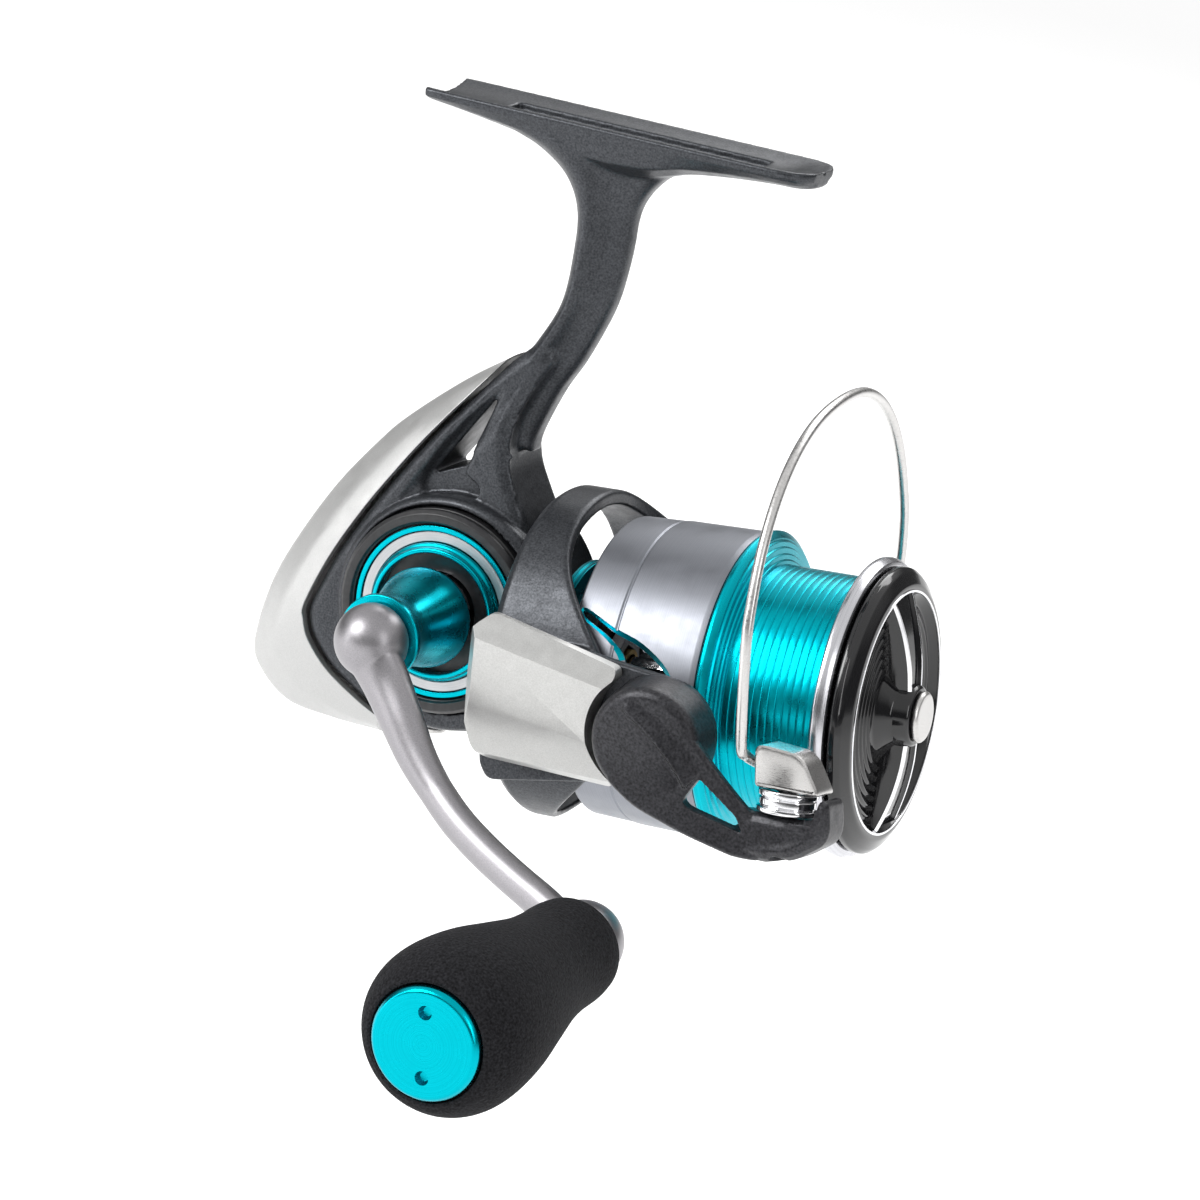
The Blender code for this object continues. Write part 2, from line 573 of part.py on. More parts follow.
def make_rotor_frame(rotor):
    hub = turned([(22.3, 2.9), (22.3, 9.4), (25.0, 9.4), (25.5, 8.9), (25.5, 2.9)], 'X', steps=32)
    frame = place("rotor_frame", hub, rotor, "black_paint")
    sections = []
    for step in range(40):
        angle = 2 * math.pi * step / 40
        beside_arm = abs(math.cos(angle)) ** 2.2
        below = max(0.0, -math.sin(angle))
        radius = HOOP_RADIUS - 3.0 * below ** 6
        inner = min(SKIRT_RADIUS + 0.4, radius - 1.2)
        rear = 15.9 + 3.4 * below ** 2
        front = 23.0 - 1.2 * below ** 2 + 14.5 * beside_arm
        shape = [(rear, radius - 0.7), (rear + 1.2, radius), (front - 0.8, radius),
                 (front, radius - 0.8), (front, inner), (rear, inner)]
        sections.append([Vector((x, r * math.cos(angle), r * math.sin(angle))) for x, r in shape])
    add(frame, loft(sections, loop=True), box((22.3, -26.2, -7.0), (25.2, 26.2, 7.0)))
    outline = arm_outline(15.6, 12.6, 9.4, 8.3)
    for side in (-1, 1):
        low, high = sorted((side * ARM_INNER, side * ARM_OUTER))
        add(frame, plate(outline, low, high))
    cut(frame, rod(20.0, 27.0, 2.9, steps=20))
    cut(frame, rod(-40.0, 40.0, 2.3, 'Y', BAIL_AXIS, 16))


def cover_outline():
    """An arm's cover: it ends in a hollow arc round the bail lever."""
    return ([(17.0, -8.6), (38.4, -9.4)]
            + arc(BAIL_PIVOT_X, 0.0, 10.2, 230, 130, 8)
            + [(38.6, 9.2), (18.0, 14.4), (15.6, 12.4), (14.8, 5.0), (14.8, -2.0), (15.4, -6.6)])


def make_rotor(rotor):
    make_pinion(rotor)
    make_rotor_frame(rotor)
    nut = turned([(25.8, 3.35), (25.8, 5.2), (28.0, 5.2), (28.0, 3.35)], 'X', steps=6)
    place("rotor_nut", nut, rotor, "zinc", sharp=20)
    for side, name in ((-1, "arm_cover_near"), (1, "arm_cover_far")):
        low, high = sorted((side * (ARM_OUTER + GAP), side * COVER_OUTER))
        cover = place(name, plate(cover_outline(), low, high, 1.2), rotor, "pearl_silver")
        low, high = sorted((side * ARM_OUTER, side * (COVER_OUTER - 1.4)))
        cut(cover, box((19.0, low, -6.6), (34.0, high, 6.6)))
    coil = []
    for step in range(37):
        angle = 2 * math.pi * step / 8
        coil.append((20.5 + 12.0 * step / 36, 28.9 + 1.2 * math.cos(angle),
                     -3.0 + 1.2 * math.sin(angle)))
    wire("bail_spring", coil, 0.3, rotor, "polished_steel", sides=0)
    make_pivot_screws(rotor)


def make_pivot_screws(rotor):
    """The pins the bail's levers turn on: one with its head inside the arm, one outside."""
    near = [(-24.4, 0.0), (-24.4, 2.9), (-24.9, 2.9), (-24.9, 2.0), (-32.6, 2.0), (-32.6, 0.0)]
    place("bail_screw_near", turned(near, 'Y', BAIL_AXIS, 16), rotor, "polished_steel")
    far = [(37.7, 0.0), (37.7, 2.4), (37.4, 3.0), (36.8, 3.0), (36.8, 2.0), (25.6, 2.0), (25.6, 0.0)]
    place("bail_screw_far", turned(far, 'Y', BAIL_AXIS, 16), rotor, "polished_steel")


def bail_curve():
    """The wire: out of its holder, over the spool in a flattened arch, into the far lever."""
    near = [(66.6, -31.6, -0.2), (65.2, -31.6, -0.2), (63.3, -31.7, -0.2), (62.4, -32.4, 0.2),
            (62.0, -34.7, 1.7), (62.3, -37.6, 4.6)]
    far = [(58.0, 37.0, 10.4), (56.2, 36.5, 8.6), (54.2, 35.5, 6.8), (53.2, 34.8, 5.2),
           (53.0, 34.7, 3.4), (53.0, 34.7, 1.0)]
    arch = []
    for step in range(1, 16):
        angle = math.pi * (1 - step / 16)
        bend = 2 / 2.3
        across = math.copysign(abs(math.cos(angle)) ** bend, math.cos(angle))
        y = -0.8 + 37.8 * across
        arch.append((60.5 - 0.05 * y, y, 10.0 + 36.7 * math.sin(angle) ** bend))
    return smooth_path(near + arch + far, 2)


def make_bail(bail):
    pivot = BAIL_AXIS
    disc = [(-LEVER_OUTER - 0.4, 0.0), (-LEVER_OUTER - 0.4, 6.0), (-LEVER_OUTER + 0.4, 8.2),
            (-LEVER_OUTER + 1.4, 8.6), (-27.1, 9.0), (-27.1, 0.0)]
    lever = place("bail_lever", turned(disc, 'Y', pivot, 28), bail, "black_paint")
    edge = [(54.0, 1.6), (50.5, 4.0), (45.4, 5.0), (40.5, -2.4), (39.2, -5.8), (42.6, -8.6),
            (45.0, -10.0), (52.5, -12.6), (60.4, -14.6), (65.0, -14.5), (66.0, -7.8), (63.0, -7.6),
            (60.6, -5.4), (56.6, -1.4)]
    tip = [(59.6, -7.2), (60.4, -14.6), (65.6, -14.6), (70.5, -13.2), (74.6, -10.6), (75.4, -8.4),
           (75.0, -3.9), (73.4, -3.9), (72.8, -7.2)]
    slope = math.tan(ROLLER_LEAN)
    add(lever, plate(edge, -LEVER_OUTER, -COVER_OUTER - GAP, 0.6),
        lean(plate(tip, -35.8, -27.6, 0.6), slope, ROLLER_CENTRE.y))
    window = [(54.6, -3.4), (52.2, -7.0), (53.0, -8.2), (62.0, -10.4), (60.8, -8.0)]
    cut(lever, plate(window, -40.0, -30.0), rod(-12.0, 12.0, 1.8, ROLLER_AXIS, ROLLER_CENTRE, 16),
        rod(-33.0, -20.0, 2.3, 'Y', pivot, 16))

    fan = [(63.9, -3.4), (72.6, -3.4), (73.2, -2.6), (72.4, 1.2), (70.6, 2.7), (64.4, 3.0),
           (63.5, 2.2), (63.3, -2.0)]
    body = lean(plate(fan, -35.4, -28.4, 0.6), slope, ROLLER_CENTRE.y)
    holder = place("wire_holder", body, bail, "satin_silver")
    cut(holder, rod(1.2, 6.0, 1.8, ROLLER_AXIS, ROLLER_CENTRE, 16),
        rod(60.0, 67.4, 1.25, centre=(0, -31.6, -0.2), steps=16))
    place("roller_bolt", rod(-5.4, 3.2, 1.5, ROLLER_AXIS, ROLLER_CENTRE, 16), bail,
          "polished_steel")
    place("roller_bearing", tube(-1.4, 1.4, 2.9, 1.8, ROLLER_AXIS, ROLLER_CENTRE, 20), bail,
          "polished_steel")

    far_disc = [(27.1, 0.0), (27.1, 7.6), (33.4, 7.6), (34.8, 6.0), (34.8, 0.0)]
    far = place("far_lever", turned(far_disc, 'Y', pivot, 24), bail, "black_paint")
    arm = [(46.0, -5.6), (52.4, -3.4), (55.2, -1.0), (55.2, 4.0), (51.0, 4.6), (45.4, 5.6),
           (42.0, 0.0)]
    add(far, plate(arm, COVER_OUTER + GAP, 36.5, 0.5))
    cut(far, rod(0.5, 8.0, 1.2, 'Z', (53.0, 34.7, 0.0), 12), rod(20.0, 40.0, 2.3, 'Y', pivot, 16))
    wire("bail_wire", bail_curve(), 0.8, bail, "satin_silver", sides=1)


def make_roller(roller):
    profile = [(-1.6, 3.2), (-1.6, 4.4), (-1.1, 4.4), (-0.7, 3.9), (0.4, 3.9), (0.9, 4.2),
               (1.6, 4.4), (1.6, 3.2)]
    place("line_roller", turned(profile, ROLLER_AXIS, ROLLER_CENTRE, 24), roller, "polished_steel")


# ---------------------------------------------------------------------------
# Main shaft, spool and drag
# ---------------------------------------------------------------------------

def make_shaft(shaft):
    place("main_shaft", rod(-20.0, 75.4, SHAFT_RADIUS, steps=16), shaft, "polished_steel")
    block = place("slider", box((-20.0, -2.9, -2.9), (-16.8, 2.9, 7.4)), shaft, "zinc")
    cut(block, rod(-22.0, -15.0, SHAFT_RADIUS + GAP, steps=16),
        rod(-22.0, -15.0, 1.2, centre=(0, 0, 5.6), steps=12))
    click = toothed_disc(16, 5.4, 6.2, 42.0, 43.4, SHAFT_RADIUS + GAP, (0, 0, 0), axis='X')
    place("click_gear", click, shaft, "black_plastic")


def make_spool(spool):
    skirt = [(27.4, 22.4), (27.4, 23.2), (34.6, 23.6), (48.5, SKIRT_RADIUS), (48.5, 16.8),
             (66.2, 16.8), (66.2, 13.0), (56.5, 13.0), (56.5, 4.3), (46.3, 4.3), (46.3, 22.4)]
    drum = place("spool_skirt", turned(skirt, 'X', steps=36), spool, "grey_anodised")
    for turn in (0.0, 180.0):
        cutter = []
        for radius in (20.5, 27.0):
            cutter.append([Vector((x, -radius * math.sin(math.radians(angle + turn)),
                                   radius * math.cos(math.radians(angle + turn))))
                           for x, angle in SKIRT_PORT])
        cut(drum, loft(cutter))
    arbor = [(48.8, 17.1), (48.8, 24.3), (50.5, 24.3), (50.6, 22.6), (51.4, 22.4),
             (51.6, ARBOR_RADIUS), (66.2, ARBOR_RADIUS), (66.2, 17.1)]
    place("spool_arbor", turned(arbor, 'X', steps=36), spool, "cyan_anodised")
    lip = [(66.5, 13.3), (66.5, LIP_RADIUS - 0.4), (67.2, LIP_RADIUS), (68.2, LIP_RADIUS),
           (69.0, LIP_RADIUS - 0.8), (69.0, 13.3)]
    place("spool_lip", turned(lip, 'X', steps=36), spool, "polished_steel")
    place("spool_bearing", tube(47.0, 49.8, 4.0, 1.9, steps=20), spool, "polished_steel")
    place("drag_felt", tube(56.8, 58.6, 12.6, 2.1, steps=24), spool, "felt")
    place("drag_plate", tube(58.9, 60.2, 12.6, 2.1, steps=24), spool, "polished_steel")
    place("drag_retainer", tube(61.0, 61.8, 12.7, 10.8, steps=24), spool, "polished_steel")


def make_drag(drag):
    face = [(69.3, 4.6), (69.3, 21.3), (70.0, 21.9), (71.2, 21.4), (72.3, 19.2), (72.3, 18.2),
            (70.9, 17.0), (70.9, 8.0), (72.0, 5.2), (75.4, 4.6), (75.8, 4.2), (75.8, 2.0),
            (71.5, 2.0), (71.5, 4.6)]
    knob = place("drag_knob", turned(face, 'X', steps=32), drag, "black_plastic")
    bar = [Vector(p) for p in ((70.5, 2.6, 19.0), (72.0, 2.6, 19.0), (74.8, 2.0, 4.3),
                               (71.3, 2.0, 4.3))]
    for side in (-1, 1):
        near = [Vector((p.x, p.y, p.z * side)) for p in bar]
        far = [Vector((p.x, -p.y, p.z * side)) for p in bar]
        add(knob, loft([near, far]))
    place("drag_nut", turned([(66.2, 2.2), (66.2, 4.2), (71.2, 4.2), (71.2, 2.2)], 'X', steps=6),
          drag, "brass", sharp=20)
    cap = [(76.1, 0.0), (76.1, 4.0), (76.6, 4.0), (76.9, 3.6), (76.9, 0.0)]
    place("knob_button", turned(cap, 'X', steps=24), drag, "satin_silver")
    coil = []
    for step in range(25):
        angle = 2 * math.pi * step / 8
        coil.append((61.2 + 4.2 * step / 24, 3.0 * math.cos(angle), 3.0 * math.sin(angle)))
    wire("drag_spring", coil, 0.4, drag, "polished_steel", sides=0)


def main():
    clear_scene()
    reel = make_pivot("reel", None)
    handle = make_pivot("handle_axis", reel, HANDLE_AXIS)
    knob = make_pivot("knob_axis", handle, KNOB_AXIS)
    osc = make_pivot("osc_axis", reel, OSC_AXIS)
    rotor = make_pivot("rotor_axis", reel)
    rotor.rotation_euler.x = math.radians(ROTOR_REST)
    bail = make_pivot("bail_axis", rotor, BAIL_AXIS)
    roller = make_pivot("roller_axis", bail, ROLLER_CENTRE)
    shaft = make_pivot("shaft_axis", reel)
    spool = make_pivot("spool_axis", shaft)
    drag = make_pivot("drag_axis", spool)

    make_body(reel)
    make_guard(reel)
    make_housing_parts(reel)
    make_handle(handle)
    make_knob(knob)
    make_osc_gear(osc)
    make_rotor(rotor)
    make_bail(bail)
    make_roller(roller)
    make_shaft(shaft)
    make_spool(spool)
    make_drag(drag)

    tilt = Matrix.Rotation(-math.radians(FOOT_TILT), 3, 'Y')
    reel.rotation_euler.y = -math.radians(FOOT_TILT)
    reel.location = -(tilt @ foot_point(SEAT_U, 0.0, -FLOOR_DEPTH)) * MM


main()
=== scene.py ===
# The looks of a spinning reel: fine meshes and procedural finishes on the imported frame.
# Shapes are drawn in millimetres in the drive frame: X along the spool's axis towards the spool,
# Y away from the handle, Z towards the rod, with the spool's axis through the origin.

import json
import math

import bmesh
import bpy
from mathutils import Matrix, Vector


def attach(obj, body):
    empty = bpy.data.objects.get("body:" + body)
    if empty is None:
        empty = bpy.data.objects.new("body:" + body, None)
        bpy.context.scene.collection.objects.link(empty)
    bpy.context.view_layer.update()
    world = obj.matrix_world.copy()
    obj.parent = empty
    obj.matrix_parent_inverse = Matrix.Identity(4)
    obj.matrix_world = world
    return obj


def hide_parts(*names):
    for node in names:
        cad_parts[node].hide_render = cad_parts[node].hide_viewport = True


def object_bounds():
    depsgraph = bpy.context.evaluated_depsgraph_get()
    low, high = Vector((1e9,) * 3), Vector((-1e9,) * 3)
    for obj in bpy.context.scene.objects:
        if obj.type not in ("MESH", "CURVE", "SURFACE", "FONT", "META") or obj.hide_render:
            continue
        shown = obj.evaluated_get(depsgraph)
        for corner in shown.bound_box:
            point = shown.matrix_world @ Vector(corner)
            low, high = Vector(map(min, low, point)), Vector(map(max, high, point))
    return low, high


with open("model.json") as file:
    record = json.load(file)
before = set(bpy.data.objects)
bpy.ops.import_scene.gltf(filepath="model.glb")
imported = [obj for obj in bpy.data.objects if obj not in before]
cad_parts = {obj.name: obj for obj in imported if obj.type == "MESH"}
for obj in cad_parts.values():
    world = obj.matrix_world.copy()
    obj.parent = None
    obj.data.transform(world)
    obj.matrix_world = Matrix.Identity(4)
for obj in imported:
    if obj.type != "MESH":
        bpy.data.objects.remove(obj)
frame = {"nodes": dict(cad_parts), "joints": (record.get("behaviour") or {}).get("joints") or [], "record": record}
cad_low, cad_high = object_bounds()

MM = 0.001                  # metres in a millimetre

# Driving sizes, the same as in the CAD
GEAR_HEIGHT = 6.4
HANDLE_LENGTH = 56.6
HANDLE_DROP = math.radians(35.15)
ROTOR_REST = math.radians(3.0)
FOOT_TILT = math.radians(5.74)
FOOT_CENTRE = (23.5, 83.1)
FOOT_HALF_WIDTH = 7.8
LIP_RADIUS = 23.0
ARBOR_RADIUS = 19.4
SKIRT_RADIUS = 23.9
HOOP_RADIUS = 26.6
ARM_INNER = 25.2
ARM_OUTER = 26.8
COVER_OUTER = 32.0
LEVER_OUTER = 34.2
BAIL_PIVOT_X = 45.4
KNOB_INNER = -56.9
KNOB_OUTER = -104.0
GAP = 0.3

HANDLE_AXIS = Vector((0.0, 0.0, GEAR_HEIGHT))
KNOB_AXIS = HANDLE_AXIS + HANDLE_LENGTH * Vector((math.cos(HANDLE_DROP), 0, -math.sin(HANDLE_DROP)))
BAIL_AXIS = Vector((BAIL_PIVOT_X, 0.0, 0.0))
ROLLER_CENTRE = Vector((67.6, -31.5, -5.3))
ROLLER_LEAN = math.radians(11.5)
ROLLER_AXIS = Vector((0.0, math.sin(ROLLER_LEAN), math.cos(ROLLER_LEAN)))
ROLLER_SLOPE = math.tan(ROLLER_LEAN)
AXES = {'X': Vector((1, 0, 0)), 'Y': Vector((0, 1, 0)), 'Z': Vector((0, 0, 1))}


def drive_frame():
    """Where the drive frame lies in the row frame, read from the rotor's joint."""
    joint = next(j for j in frame["joints"] if j["name"] == "rotor_spin")
    forward = Vector(joint["axis"]).normalized()
    side = Vector((0.0, 1.0, 0.0))
    placed = Matrix((forward, side, forward.cross(side))).transposed().to_4x4()
    placed.translation = Vector(joint["pos_m"])
    return placed


DRIVE = drive_frame()
ROTOR = DRIVE @ Matrix.Rotation(ROTOR_REST, 4, 'X')


# ---- Procedural finishes. Texture sizes are real sizes, in millimetres ----

NOISE_RANGE = (0.3, 0.7)    # where most of a noise texture's values lie


def shader_of(finish):
    return finish.node_tree.nodes["Principled BSDF"]


def feed(finish, output, socket):
    """Links a node's output to one of the shader's own sockets."""
    finish.node_tree.links.new(output, shader_of(finish).inputs[socket])


def new_finish(name, colour, metallic, roughness, **sockets):
    made = bpy.data.materials.new(name)
    made.use_nodes = True
    shader = shader_of(made)
    shader.inputs["Base Color"].default_value = (*colour, 1.0)
    shader.inputs["Metallic"].default_value = metallic
    shader.inputs["Roughness"].default_value = roughness
    for socket, value in sockets.items():
        shader.inputs[socket.replace("_", " ")].default_value = value
    return made


def add_node(finish, kind, inputs=(), **settings):
    """A node with its settings and inputs; an input that is a socket is linked."""
    made = finish.node_tree.nodes.new(kind)
    for key, value in settings.items():
        setattr(made, key, value)
    for key, value in dict(inputs).items():
        if isinstance(value, bpy.types.NodeSocket):
            finish.node_tree.links.new(value, made.inputs[key])
        else:
            made.inputs[key].default_value = value
    return made


def position(finish):
    return add_node(finish, "ShaderNodeTexCoord").outputs["Object"]


def grain(finish, size, detail=3.0, stretch=None, where=None):
    """Noise whose features are about "size" millimetres across, stretched along axes if asked."""
    at = where or position(finish)
    if stretch:
        at = add_node(finish, "ShaderNodeVectorMath", {0: at, 1: stretch},
                      operation='MULTIPLY').outputs[0]
    return add_node(finish, "ShaderNodeTexNoise",
                    {"Vector": at, "Scale": 1.0 / (size * MM), "Detail": detail}).outputs["Fac"]


def turned_lines(finish, size, axis='X'):
    """Noise that only changes along the axis and outwards from it, as tool marks do."""
    split = add_node(finish, "ShaderNodeSeparateXYZ", {0: position(finish)})
    flat = add_node(finish, "ShaderNodeVectorMath",
                    {0: position(finish), 1: tuple(1.0 - v for v in AXES[axis])},
                    operation='MULTIPLY')
    out = add_node(finish, "ShaderNodeVectorMath", {0: flat.outputs[0]}, operation='LENGTH')
    run = add_node(finish, "ShaderNodeMath", {0: split.outputs[axis], 1: out.outputs["Value"]},
                   operation='ADD')
    return add_node(finish, "ShaderNodeTexNoise",
                    {"W": run.outputs[0], "Scale": 1.0 / (size * MM), "Detail": 3.0},
                    noise_dimensions='1D').outputs["Fac"]


def spread(finish, factor, low, high):
    """The factor's middle range stretched from low to high."""
    return add_node(finish, "ShaderNodeMapRange",
                    {"Value": factor, "From Min": NOISE_RANGE[0], "From Max": NOISE_RANGE[1],
                     "To Min": low, "To Max": high}).outputs[0]


def set_roughness(finish, factor, low, high):
    feed(finish, spread(finish, factor, low, high), "Roughness")


def set_colour(finish, factor, dark, light):
    ramp = add_node(finish, "ShaderNodeValToRGB", {0: factor})
    for element, at, colour in zip(ramp.color_ramp.elements, NOISE_RANGE, (dark, light)):
        element.position = at
        element.color = (*colour, 1.0)
    feed(finish, ramp.outputs[0], "Base Color")


def set_bump(finish, *layers):
    """Bump from (factor, height in millimetres) layers, one on the other."""
    normal = None
    for factor, height in layers:
        inputs = {"Height": factor, "Distance": height * MM, "Strength": 1.0}
        if normal:
            inputs["Normal"] = normal
        normal = add_node(finish, "ShaderNodeBump", inputs).outputs[0]
    feed(finish, normal, "Normal")


def sand_paint(name, dark, light, roughness, size, height, metallic=0.0):
    """Satin paint with a fine sand texture."""
    made = new_finish(name, light, metallic, roughness)
    sand = grain(made, size, 2.0)
    set_colour(made, grain(made, size * 1.6, 3.0), dark, light)
    set_roughness(made, grain(made, 2.0), roughness - 0.06, roughness + 0.06)
    set_bump(made, (sand, height), (grain(made, 6.0), 0.03))
    return made


def turned_metal(name, dark, light, roughness, axis='X', size=0.12, height=0.002):
    """Bare or anodised metal with fine tool marks round its axis."""
    made = new_finish(name, light, 1.0, roughness)
    lines = turned_lines(made, size, axis)
    set_colour(made, lines, dark, light)
    set_roughness(made, grain(made, 3.0), roughness - 0.04, roughness + 0.05)
    set_bump(made, (lines, height))
    return made


def brushed_metal(name, dark, light, roughness, stretch, size, height):
    """Metal brushed one way: the stretch is smallest along the brushing."""
    made = new_finish(name, light, 1.0, roughness)
    strokes = grain(made, size, 4.0, stretch)
    set_colour(made, strokes, dark, light)
    set_roughness(made, strokes, roughness - 0.05, roughness + 0.08)
    set_bump(made, (strokes, height))
    return made


# Each table's columns are the arguments of the function that makes it.
CYAN = (0.0, 0.36, 0.44), (0.002, 0.46, 0.55)
PAINTS = [
    ("paint", (0.022, 0.024, 0.028), (0.066, 0.070, 0.078), 0.36, 0.20, 0.02, 0.6),
    ("lever_paint", (0.010, 0.010, 0.012), (0.046, 0.046, 0.052), 0.38, 0.26, 0.03, 0.5),
    ("silver", (0.44, 0.44, 0.43), (0.53, 0.53, 0.52), 0.34, 0.12, 0.003, 0.75),
    ("guard", (0.43, 0.43, 0.425), (0.49, 0.49, 0.485), 0.36, 0.12, 0.003, 0.55),
]
TURNED_METALS = [
    ("cyan_y", *CYAN, 0.27, 'Y', 0.12, 0.0004),
    ("cyan_x", *CYAN, 0.29, 'X', 0.12, 0.0003),
    ("grey_x", (0.22, 0.23, 0.255), (0.29, 0.30, 0.33), 0.42, 'X', 0.09, 0.0008),
    ("band_y", (0.40, 0.41, 0.42), (0.50, 0.51, 0.52), 0.38, 'Y', 0.15, 0.002),
    ("polished_x", (0.54, 0.54, 0.57), (0.64, 0.64, 0.67), 0.24, 'X', 0.2, 0.0006),
    ("brass", (0.60, 0.42, 0.16), (0.74, 0.54, 0.24), 0.30),
]
BRUSHED_METALS = [
    ("chrome", (0.76, 0.76, 0.78), (0.86, 0.86, 0.88), 0.08, (1, 1, 1), 1.5, 0.001),
    ("steel", (0.50, 0.49, 0.48), (0.60, 0.59, 0.58), 0.28, (0.10, 1, 1), 0.10, 0.0008),
    ("wire", (0.56, 0.55, 0.54), (0.66, 0.65, 0.64), 0.30, (1, 1, 1), 0.4, 0.001),
    ("gunmetal", (0.27, 0.26, 0.275), (0.36, 0.35, 0.365), 0.38, (1, 1, 1), 0.16, 0.004),
    ("zinc", (0.42, 0.43, 0.45), (0.56, 0.57, 0.59), 0.42, (1, 1, 1), 0.3, 0.006),
]


def make_gloss():
    """Polished black plastic."""
    made = new_finish("gloss_black", (0.008, 0.008, 0.009), 0.0, 0.09, Specular_IOR_Level=0.6)
    set_roughness(made, grain(made, 1.5), 0.06, 0.13)
    set_bump(made, (grain(made, 4.0), 0.01))
    return made


def make_plastic():
    """Moulded black plastic with a fine grain."""
    made = new_finish("plastic", (0.015, 0.015, 0.017), 0.0, 0.4)
    set_colour(made, grain(made, 1.0), (0.010, 0.010, 0.011), (0.022, 0.022, 0.024))
    set_roughness(made, grain(made, 0.8), 0.32, 0.46)
    set_bump(made, (grain(made, 0.3), 0.006))
    return made


def make_felt():
    made = new_finish("felt", (0.25, 0.24, 0.20), 0.0, 0.95, Sheen_Weight=0.4)
    set_colour(made, grain(made, 0.4), (0.16, 0.15, 0.12), (0.32, 0.30, 0.25))
    set_bump(made, (grain(made, 0.2), 0.05))
    return made


def make_foam():
    """Closed-cell foam: a pebbled skin of small open cells."""
    made = new_finish("foam", (0.012, 0.012, 0.013), 0.0, 0.95, Specular_IOR_Level=0.2)
    cells = add_node(made, "ShaderNodeTexVoronoi",
                     {"Vector": position(made), "Scale": 1.0 / (0.55 * MM), "Randomness": 1.0},
                     feature='SMOOTH_F1').outputs["Distance"]
    fine = grain(made, 0.35, 4.0)
    set_colour(made, fine, (0.001, 0.001, 0.0015), (0.020, 0.020, 0.023))
    set_bump(made, (cells, 0.12), (fine, 0.10))
    return made


def make_finishes():
    made = {row[0]: sand_paint(*row) for row in PAINTS}
    made.update({row[0]: turned_metal(*row) for row in TURNED_METALS})
    made.update({row[0]: brushed_metal(*row) for row in BRUSHED_METALS})
    made["gloss_black"] = make_gloss()
    made["plastic"] = make_plastic()
    made["foam"] = make_foam()
    made["felt"] = make_felt()
    return made


FINISHES = make_finishes()


# ---- Shapes, in millimetres ----

def soften(points, radius, closed=False, steps=4):
    """Rounds the corners of a line of points. A point may carry its own radius after its place."""
    size = 2 if len(points[0]) < 4 and not isinstance(points[0], Vector) else 3
    places = [Vector(tuple(p)[:size]) for p in points]
    radii = [p[size] if len(p) > size else radius for p in points]
    least = 1e-4                # corners with less room than this stay sharp
    made = []
    for i, here in enumerate(places):
        if not closed and i in (0, len(places) - 1):
            made.append(here)
            continue
        before, after = places[i - 1], places[(i + 1) % len(places)]
        near = min(radii[i], 0.45 * (before - here).length)
        far = min(radii[i], 0.45 * (after - here).length)
        if near < least or far < least:
            made.append(here)
            continue
        start = here + (before - here).normalized() * near
        end = here + (after - here).normalized() * far
        for step in range(steps + 1):
            t = step / steps
            made.append(start * (1 - t) ** 2 + here * (2 * t * (1 - t)) + end * t * t)
    return made


def rounded(corners, radius, steps=4):
    """A closed outline with rounded corners."""
    return soften(corners, radius, True, steps)


def smooth_path(points, per_span, closed=False):
    """A Catmull-Rom curve through the points."""
    points = [Vector(p) for p in points]
    if closed:
        padded = [points[-1]] + points + points[:2]
        spans = len(points)
    else:
        padded = [2 * points[0] - points[1]] + points + [2 * points[-1] - points[-2]]
        spans = len(points) - 1
    path = []
    for i in range(spans):
        a, b, c, d = padded[i:i + 4]
        for step in range(per_span):
            t = step / per_span
            path.append(0.5 * (2 * b + (c - a) * t + (2 * a - 5 * b + 4 * c - d) * t * t
                               + (3 * b - a - 3 * c + d) * t ** 3))
    if not closed:
        path.append(points[-1])
    return path


def skin(rings, loop=False, caps=True):
    """Faces between a row of rings, each a closed line of points."""
    count = len(rings[0])
    verts = [tuple(point) for ring in rings for point in ring]
    faces = []
    for i in range(len(rings) if loop else len(rings) - 1):
        first, second = i * count, ((i + 1) % len(rings)) * count
        for j in range(count):
            k = (j + 1) % count
            faces.append((first + j, first + k, second + k, second + j))
    if caps and not loop:
        faces.append(tuple(range(count)))
        faces.append(tuple(range(len(verts) - count, len(verts))))
    return mesh_of(verts, faces)


def mesh_of(verts, faces):
    mesh = bpy.data.meshes.new("work")
    mesh.from_pydata(verts, [], faces)
    bm = bmesh.new()
    bm.from_mesh(mesh)
    bpy.data.meshes.remove(mesh)
    return bm


def lathe(profile, axis='X', centre=(0.0, 0.0, 0.0), soft=0.15, steps=144):
    """A solid of revolution with softened corners. The profile is (along the axis, radius)
    pairs: from axis to axis for a solid, or all off the axis for a ring."""
    ring_shaped = profile[0][1] > 0
    points = soften(profile, soft, ring_shaped)
    along = (AXES[axis] if isinstance(axis, str) else Vector(axis)).normalized()
    out = Vector((0, 0, 1)) if abs(along.z) < 0.9 else Vector((1, 0, 0))
    out = (out - along * out.dot(along)).normalized()
    across = along.cross(out)
    centre = Vector(centre)
    verts, faces = [], []
    count = len(points)
    for step in range(steps):
        angle = 2 * math.pi * step / steps
        away = out * math.cos(angle) + across * math.sin(angle)
        verts += [centre + along * p.x + away * p.y for p in points]
    for step in range(steps):
        first, second = step * count, ((step + 1) % steps) * count
        for j in range(count if ring_shaped else count - 1):
            k = (j + 1) % count
            faces.append((first + j, first + k, second + k, second + j))
    bm = mesh_of([tuple(v) for v in verts], faces)
    if not ring_shaped:
        bmesh.ops.remove_doubles(bm, verts=bm.verts, dist=0.0005)
    return bm


def rod(start, end, radius, axis='X', centre=(0.0, 0.0, 0.0), soft=0.1, steps=64):
    return lathe([(start, 0.0), (start, radius), (end, radius), (end, 0.0)], axis, centre, soft, steps)


